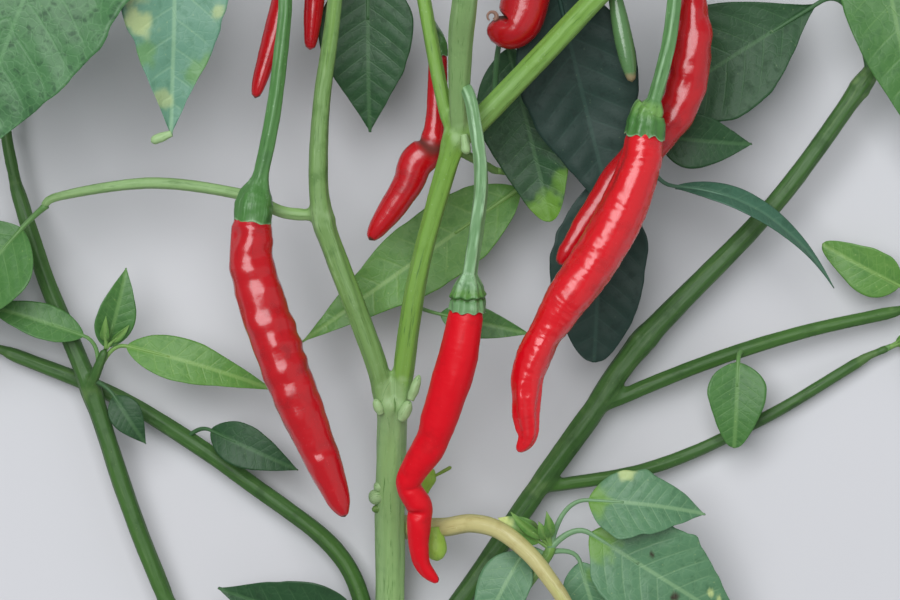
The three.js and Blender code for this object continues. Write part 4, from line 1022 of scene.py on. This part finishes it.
def blade_parts(row, seed, waves=0.02, broadest=0.72, blunt=0, curl=0, spots=()):
    """A blade folded along its midrib, puckered between its veins, with waved margins and a thick midrib."""
    face, start, middle, end = blade_curve(row)
    rows, columns = next(grid for wider, *grid in BLADE_GRIDS if row["width"] > wider)
    along = (1 - np.cos(np.linspace(0.04, 1, rows) * math.pi)) / 2 * 0.25 + np.linspace(0.004, 1, rows) * 0.75
    spine, forward = bend_through(start, middle, end, along)
    side = unit(np.cross(forward, face))
    upward = np.cross(side, forward)
    length = np.linalg.norm(np.diff(spine, axis=0), axis=1).sum()
    across = np.linspace(-1, 1, columns)
    across = (np.sign(across) * np.abs(across) ** 0.85)[None]
    along = along[:, None]
    run = along * length
    reach = np.abs(across)
    hand = np.sign(across)

    def where(fineness, extra=0):
        return np.stack(np.broadcast_arrays(run * fineness, hand * 3.7 + extra, reach * 0.7), axis=-1)

    outline = np.sin(math.pi * along ** broadest) ** (1 - blunt * along) * (1 - TIP_SLIMMING * along)
    waves = 0.04 + waves
    half = row["width"] / 2 * np.maximum(outline, 0.03)
    half = half * (1 + waves * noise(where(0.11), seed) + 0.5 * waves * noise(where(0.35), seed + 1))
    offset = across * half
    rise = run - 0.62 * np.abs(offset) - 0.012 * offset ** 2
    vein = rise * VEINS_A_SIDE / length + 0.12 * noise(where(0.05, 9), seed + 2) + 0.35 * (hand > 0)
    pucker = (np.cos(2 * math.pi * vein) * ramp(reach, 0.08, 0.35) * (1 - ramp(reach, 0.75, 1))
              * ramp(along, 0.03, 0.2))
    level = np.stack(np.broadcast_arrays(run * 0.12, offset * 0.12, 0 * run), axis=-1)
    lift = 1.1 * reach ** 2 * noise(where(0.09, 5), seed + 3) - 0.12 * pucker + 0.5 * noise(level, seed + 4)
    lift = row["width"] / 30 * (lift - 3 * curl * reach ** 3 * ramp(reach, 0.5, 1))
    lift += FOLD * (np.sqrt(offset ** 2 + 1.2) - 1.1) - 0.28 * bell(offset, 0.55) * (1 - 0.7 * along) + 0.12
    thick = 0.26 + 0.5 * bell(offset, 0.9) * (1 - along)
    flat = spine[:, None] + side[:, None] * offset[..., None]
    top, bottom = (flat + upward[:, None] * height[..., None] for height in (lift, lift - thick))
    rind = np.stack(np.broadcast_arrays(offset, run, 37.0 * seed), axis=-1)
    stain = np.zeros(rind.shape)
    for kind, at, aside, size, strength in spots:
        distance = np.hypot((across - aside) * half, run - at * length)
        distance = distance / (size * (1 + 0.35 * noise(rind * [0.6, 0.6, 1], seed + 6)))
        layer = stain[..., STAINS.index(kind)]
        np.maximum(layer, strength * (1 - ramp(distance, 0.55, 1.15)), out=layer)

    def both(values):
        return np.concatenate([values, values[:, ::-1]], axis=1)

    def both_and_ends(values):
        return np.concatenate([both(values).ravel(), [values[0, 0], values[-1, -1]]])

    grid = np.concatenate([top, bottom[:, ::-1]], axis=1)
    points, faces, attributes = closed_rows(grid, both(rind), both(stain))
    return points, faces, {**attributes, "vein": both_and_ends(vein), "edge": both_and_ends(reach + 0 * run)}


def petiole_parts(row, seed):
    """A leaf's stalk, which runs on under the blade as it thins."""
    face, start, middle, end = blade_curve(row)
    root = place([row["root"]])[0]
    _, towards = bend_through(start, middle, end, 0)
    bend = start - towards[0] * PETIOLE_BEND * np.linalg.norm(start - root)
    stalk, _ = bend_through(root, bend, start, np.linspace(0, 1, 60))
    under, _ = bend_through(start, middle, end, np.linspace(0.02, 0.3, 20))
    line = Line(np.vstack([stalk, under - face * 0.25]))
    shares = np.linspace(0, 1, max(10, int(line.length / 1.1)))
    angle, run, straight = skin_grid(line, shares, PETIOLE_SIDES)
    thick = (0.85 - 0.45 * shares)[:, None] * (1 + 0.15 * bell(run, 1.6)) * min(1, 0.6 + row["width"] / 60)
    radii = thick * (1 + 0.06 * np.cos(3 * angle) + 0.05 * noise(straight * [1.5, 1.5, 0.3], seed))
    points, faces, attributes = tube_parts(line, shares, radii)
    rind = attributes["rind"] * [0, 0, 1] + [0, 0, 37 * seed]
    return points, faces, {**attributes, "rind": rind, "vein": np.full(len(points), 0.5),
                           "edge": np.zeros(len(points))}


def leaf_parts(row, seed):
    return [blade_parts(row, seed, **row["looks"]), petiole_parts(row, seed)]


# The plant

REAR_LIMBS = ["back_right_bough", "back_left_bough", "far_left_foot", "far_left_bough",
              "back_right_side_twig", "back_right_low_twig"]
RIPE_PODS = ["centre", "right"]
DARK_SPRAYS = ["dark_rear_leaf", "rear_spray", "foot_leaf", "left_axil_leaf"]
REAR_TWIGS = ["left_shoot", "back_crown", "side_twig_end", "low_twig_end", "far_left_end", "back_left_end"]
LOOSE_TWIGS = ["yellowed_side_stalk", "low_shoot"]
TIPLESS_TWIGS = LOOSE_TWIGS + ["arched_leaf", "bright_back_leaf", "rear_spray"]
# Small things that stand on a skin: place, direction, length, radius, seed, stain and widest share.
BUDS = [
    ([-12.2, -30, 33.2], (0.45, 1, 0.3), 5.6, 1.55, 501, (0.9, 0, 0)),
    ([-9.9, -25, 35], (0.36, 1, 0.1), 6.8, 1.25, 502, (0.8, 0, 0)),
    ([-17.2, -28.4, 32.6], (-0.4, 1, 0.3), 4.2, 1.3, 503, (0.9, 0, 0)),
    ([-16.6, -49.3, 19.6], (-1, 0.08, 0.35), 4, 2, 504, (1, 0, 0), 0.5),
    ([-16.6, -47.2, 20.5], (-0.9, 0.5, 0.5), 2.8, 1.5, 513, (0.9, 0, 0), 0.5),
    ([-16.8, -51.6, 18.6], (-1, -0.35, 0.2), 3, 1.1, 505, (0, 0.3, 0.5)),
    ([-12, -47.5, 20], (1, 0.12, 0.55), 7.5, 0.9, 507, (0.35, 0, 0.5), 0.9),
    ([-69.6, 41.7, 50.4], (-1, -0.4, -0.05), 5.6, 1.25, 510, (1, 0, 0), 0.7),
    ([3.5, 41.4, 51.5], (0.15, -1, 0.05), 5, 1.25, 511, (0.9, 0, 0.2), 0.72)]
YOUNG_BUDS = [
    ([-4, -56.8, 25], (0.1, -1, 0.05), 8.6, 2.7, 506, (0.2, 0, 0), 0.62),
    ([-6.8, -47.8, 23.3], (0.3, 1, 0.2), 6.6, 2.4, 508, (0, 0, 0), 0.5),
    ([-4.9, -44.6, 24.4], (1, 0.55, 0.1), 6.2, 0.5, 509, (0, 0.4, 0), 0.9)]
LOW_SHOOT_TIP = dict(root=[25.2, -61.6, 27.2], forward=[-0.45, 0.85, 0.3], size=11, seed=3)
TAIL_CENTRE, TAIL_RADIUS = [10.5, 70.9, 47.6], 1.15
TIP_LEAF, SIDE_LEAF = 8, 9      # lengths of the young leaves
CUT_SIDES, CUT_RINGS = 64, 14
DISH, RIND_EDGE, PLUG = 0.25, 0.97, 0.6


def build_limbs():
    """The limbs and the sprays' twigs, grown together into one skin in front and one behind."""
    limbs = {**LIMBS, **{name: row["twig"] for name, row in {**SPRAYS, **CROWNS}.items()
                         if "twig" in row and name not in LOOSE_TWIGS}}
    rear_names = REAR_LIMBS + REAR_TWIGS
    front = {name: row for name, row in limbs.items() if name not in rear_names}
    rear = {name: row for name, row in limbs.items() if name in rear_names}
    show("stems", [fused_parts(front.values(), 11)], STEM_SKIN, "stem", *front)
    show("rear_stems", [fused_parts(rear.values(), 411)], REAR_STEM_SKIN, "rear_stem", *rear)


def build_fruits():
    stalks, pods = [], {}
    for index, (name, row) in enumerate(FRUITS.items()):
        stalks.append(stalk_parts(row["stalk"], 41 + index, **CALYX_LOOKS.get(name, OTHER_CALYX)))
        pods[name] = pod_parts(row["pod"], 71 + index, **POD_LOOKS[name])
    shaded = [name for name in FRUITS if name not in RIPE_PODS + ["green"]]
    show("fruit_stalks", stalks, STALK_SKIN, "fruit_stalk", *[name + "_stalk" for name in FRUITS])
    show("right_pod_skin", [pods["right"]], RIPE_SKIN, "ripe_pod", "right_pod")
    show("centre_pod_skin", [pods["centre"]], SATIN_SKIN, "ripe_pod", "centre_pod")
    show("shaded_pods", [pods[name] for name in shaded], SHADED_SKIN, "shaded_pod",
         *[name + "_pod" for name in shaded])
    show("unripe_pod", [pods["green"]], GREEN_SKIN, "unripe_pod", "green_pod")


def build_foliage():
    """Every spray and crown: its leaves go to the piece of their tone; the low shoot's and the yellowed
    stalk's twigs get pieces of their own.
    """
    pieces = {}
    sprays = {name: row["leaves"] for name, row in SPRAYS.items()}
    sprays.update({name: list(winding_leaves(**row)) for name, row in CROWNS.items()})
    for number, (name, leaves) in enumerate(sprays.items()):
        slot = "dark_leaf" if name in DARK_SPRAYS else "leaf"
        for index, row in enumerate(leaves):
            parts, nodes = pieces.setdefault((row["tone"], slot), ([], {}))
            parts += leaf_parts(row, 101 + 10 * number + index)
            nodes[name] = True
    for (tone, slot), (parts, nodes) in pieces.items():
        show(f"{tone}_foliage_{slot}", parts, LEAF_SKINS[tone], slot, *nodes)
    show("low_shoot_twig", [limb_parts(SPRAYS["low_shoot"]["twig"], 301)], STEM_SKIN, "stem", "low_shoot")
    show("yellowed_stalk", [limb_parts(SPRAYS["yellowed_side_stalk"]["twig"], 302)], STRAW_SKIN, "leaf",
         "yellowed_side_stalk")


def build_small_things():
    """Buds at the forks and nodes, young yellow ones on the stem, and a pod's curled tail."""
    show("buds", [bump_parts(*row) for row in BUDS], STEM_SKIN, "stem")
    show("young_buds", [bump_parts(*row) for row in YOUNG_BUDS], YOUNG_SKIN, "stem")
    curl = [np.array(TAIL_CENTRE) + [TAIL_RADIUS * math.cos(turn), TAIL_RADIUS * math.sin(turn), 0.1 * step]
            for step, turn in enumerate(np.linspace(-1, 4.2, 12))]
    show("curled_tail", [limb_parts(tube([0.5, 0.36, 0.22], *curl), 512, sides=12, step=0.25)],
         DRY_SKIN, "shaded_pod")


def cut_face(row, seed):
    """The cut end of a limb: pale pith, a ring of wood and the green rind, slightly dished."""
    line = line_through(row["path"])
    centre, forward = line.at(0), line.forward(0)
    across = unit(np.cross(forward, UP))
    beside = np.cross(across, forward)
    angle = np.linspace(0, 2 * math.pi, CUT_SIDES, endpoint=False)[:, None]
    points, stain = [centre - 0.05 * forward], [[1, 0, 0]]
    for share in np.linspace(0.08, 1, CUT_RINGS):
        size = RIND_EDGE * share * row["radii"][0] * (1 + 0.02 * np.cos(5 * angle))
        spot = (across * np.cos(angle) + beside * np.sin(angle)) * size
        lift = 0.12 * noise(spot * 0.9, seed) + DISH * ramp(share, 0.3, 0.9)
        points += list(centre + spot - lift[:, None] * forward)
        stain += [[1 - 0.75 * bell(share - 0.62, 0.16), ramp(share, 0.88, 1), 0]] * CUT_SIDES
    points = np.array(points + [centre + PLUG * forward])
    stain.append([0, 1, 0])
    around = [(side, (side + 1) % CUT_SIDES) for side in range(CUT_SIDES)]
    last = 1 + (CUT_RINGS - 1) * CUT_SIDES
    faces = [(0, 1 + beyond, 1 + side) for side, beyond in around]
    faces += [face[::-1] for face in grid_faces(CUT_RINGS, CUT_SIDES, first=1)]
    faces += [(len(points) - 1, last + side, last + beyond) for side, beyond in around]
    return points, faces, {"rind": points - centre, "stain": np.array(stain, float)}


def build_young_growth():
    """Growing tips on the twigs' ends, and short side shoots in the axils of the crowns' leaves."""
    leaves, shoots = [], []
    for number, (name, row) in enumerate({**SPRAYS, **CROWNS}.items()):
        if "twig" in row and name not in TIPLESS_TWIGS:
            before, end = np.array(row["twig"]["path"][-2:], float)
            leaves += bud_leaves(end, unit(end - before), TIP_LEAF, number)
    leaves += bud_leaves(**LOW_SHOOT_TIP)
    for number, row in enumerate(CROWNS.values()):
        start, end = np.array(row["twig"]["path"], float)[[0, -1]]
        along = unit(end - start)
        for index, grown in enumerate(winding_leaves(**row)):
            towards = unit(unit(grown["base"] - grown["root"]) + 0.9 * along)
            bend = grown["root"] + 4 * towards
            end = bend + 4.5 * unit(towards + 0.5 * along)
            shoots.append(limb_parts(tube([0.85, 0.6, 0.4], grown["root"], bend, end),
                                     701 + 10 * number + index, sides=12, step=0.6))
            leaves += bud_leaves(end, unit(end - bend), SIDE_LEAF, number + index)
    parts = []
    for index, row in enumerate(leaves):
        parts += leaf_parts(row, 801 + index)
    show("young_leaves", parts, LEAF_SKINS["bright"], "leaf")
    show("side_shoots", shoots, STEM_SKIN, "stem")


build_limbs()
build_fruits()
build_foliage()
build_small_things()
show("cut_face", [cut_face(LIMBS["main_stem"], 601)], CUT_SKIN, "stem")
build_young_growth()


# Floor, lights and camera, in metres

FLOOR_REACH = 3
PLANT_MIDDLE = (0, 0, 0.04)
CLIP_START = 0.05


def new_light(name, at, size, power, tint=(1, 1, 1)):
    """A soft rectangular light that faces the plant."""
    light = bpy.data.lights.new(name, "AREA")
    light.shape = "RECTANGLE"
    light.size, light.size_y = size
    light.energy = power
    light.color = tint
    lamp = add_object(name, light)
    lamp.location = at
    direction = np.array(PLANT_MIDDLE) - np.array(at)
    lamp.rotation_euler = Vector(direction).to_track_quat("-Z", "Y").to_euler()


def build_studio():
    mesh = bpy.data.meshes.new("floor")
    corners = [(-1, -1), (1, -1), (1, 1), (-1, 1)]
    mesh.from_pydata([(FLOOR_REACH * x, FLOOR_REACH * y, 0) for x, y in corners], [], [(0, 1, 2, 3)])
    floor = add_object("floor", mesh)
    material, nodes, surface, _, _ = new_material("Pale floor", Roughness=0.9, Specular_IOR_Level=0.2)
    place_at = nodes.add("TexCoord").outputs["Object"]
    tint = nodes.mix(nodes.noise(place_at, 9.0, 3.0), (196, 196, 198), (204, 204, 206))
    nodes.fill(surface, {"Base Color": tint})
    mesh.materials.append(material)
    new_light("sky", (-0.28, 0.42, 1.5), (1.15, 1.2), 27, (0.96, 0.97, 1))
    new_light("side", (1.1, -0.3, 0.8), (1.7, 1.7), 3)
    scene = bpy.context.scene
    scene.world = bpy.data.worlds.new("Studio")
    scene.world.use_nodes = True
    background = scene.world.node_tree.nodes["Background"].inputs
    background["Color"].default_value = (0.9, 0.95, 1, 1)
    background["Strength"].default_value = 0.3
    scene.view_settings.view_transform = "Standard"


def build_camera():
    camera = bpy.data.cameras.new("camera")
    camera.sensor_width = SENSOR_WIDTH
    camera.lens = SENSOR_WIDTH * SIGHT_LENGTH / SEEN_WIDTH
    camera.clip_start = CLIP_START
    eye = add_object("camera", camera)
    eye.location = (np.array([0, 0, POD_LEVEL + SIGHT_LENGTH]) + SHIFT) * MM
    bpy.context.scene.camera = eye


build_studio()
build_camera()
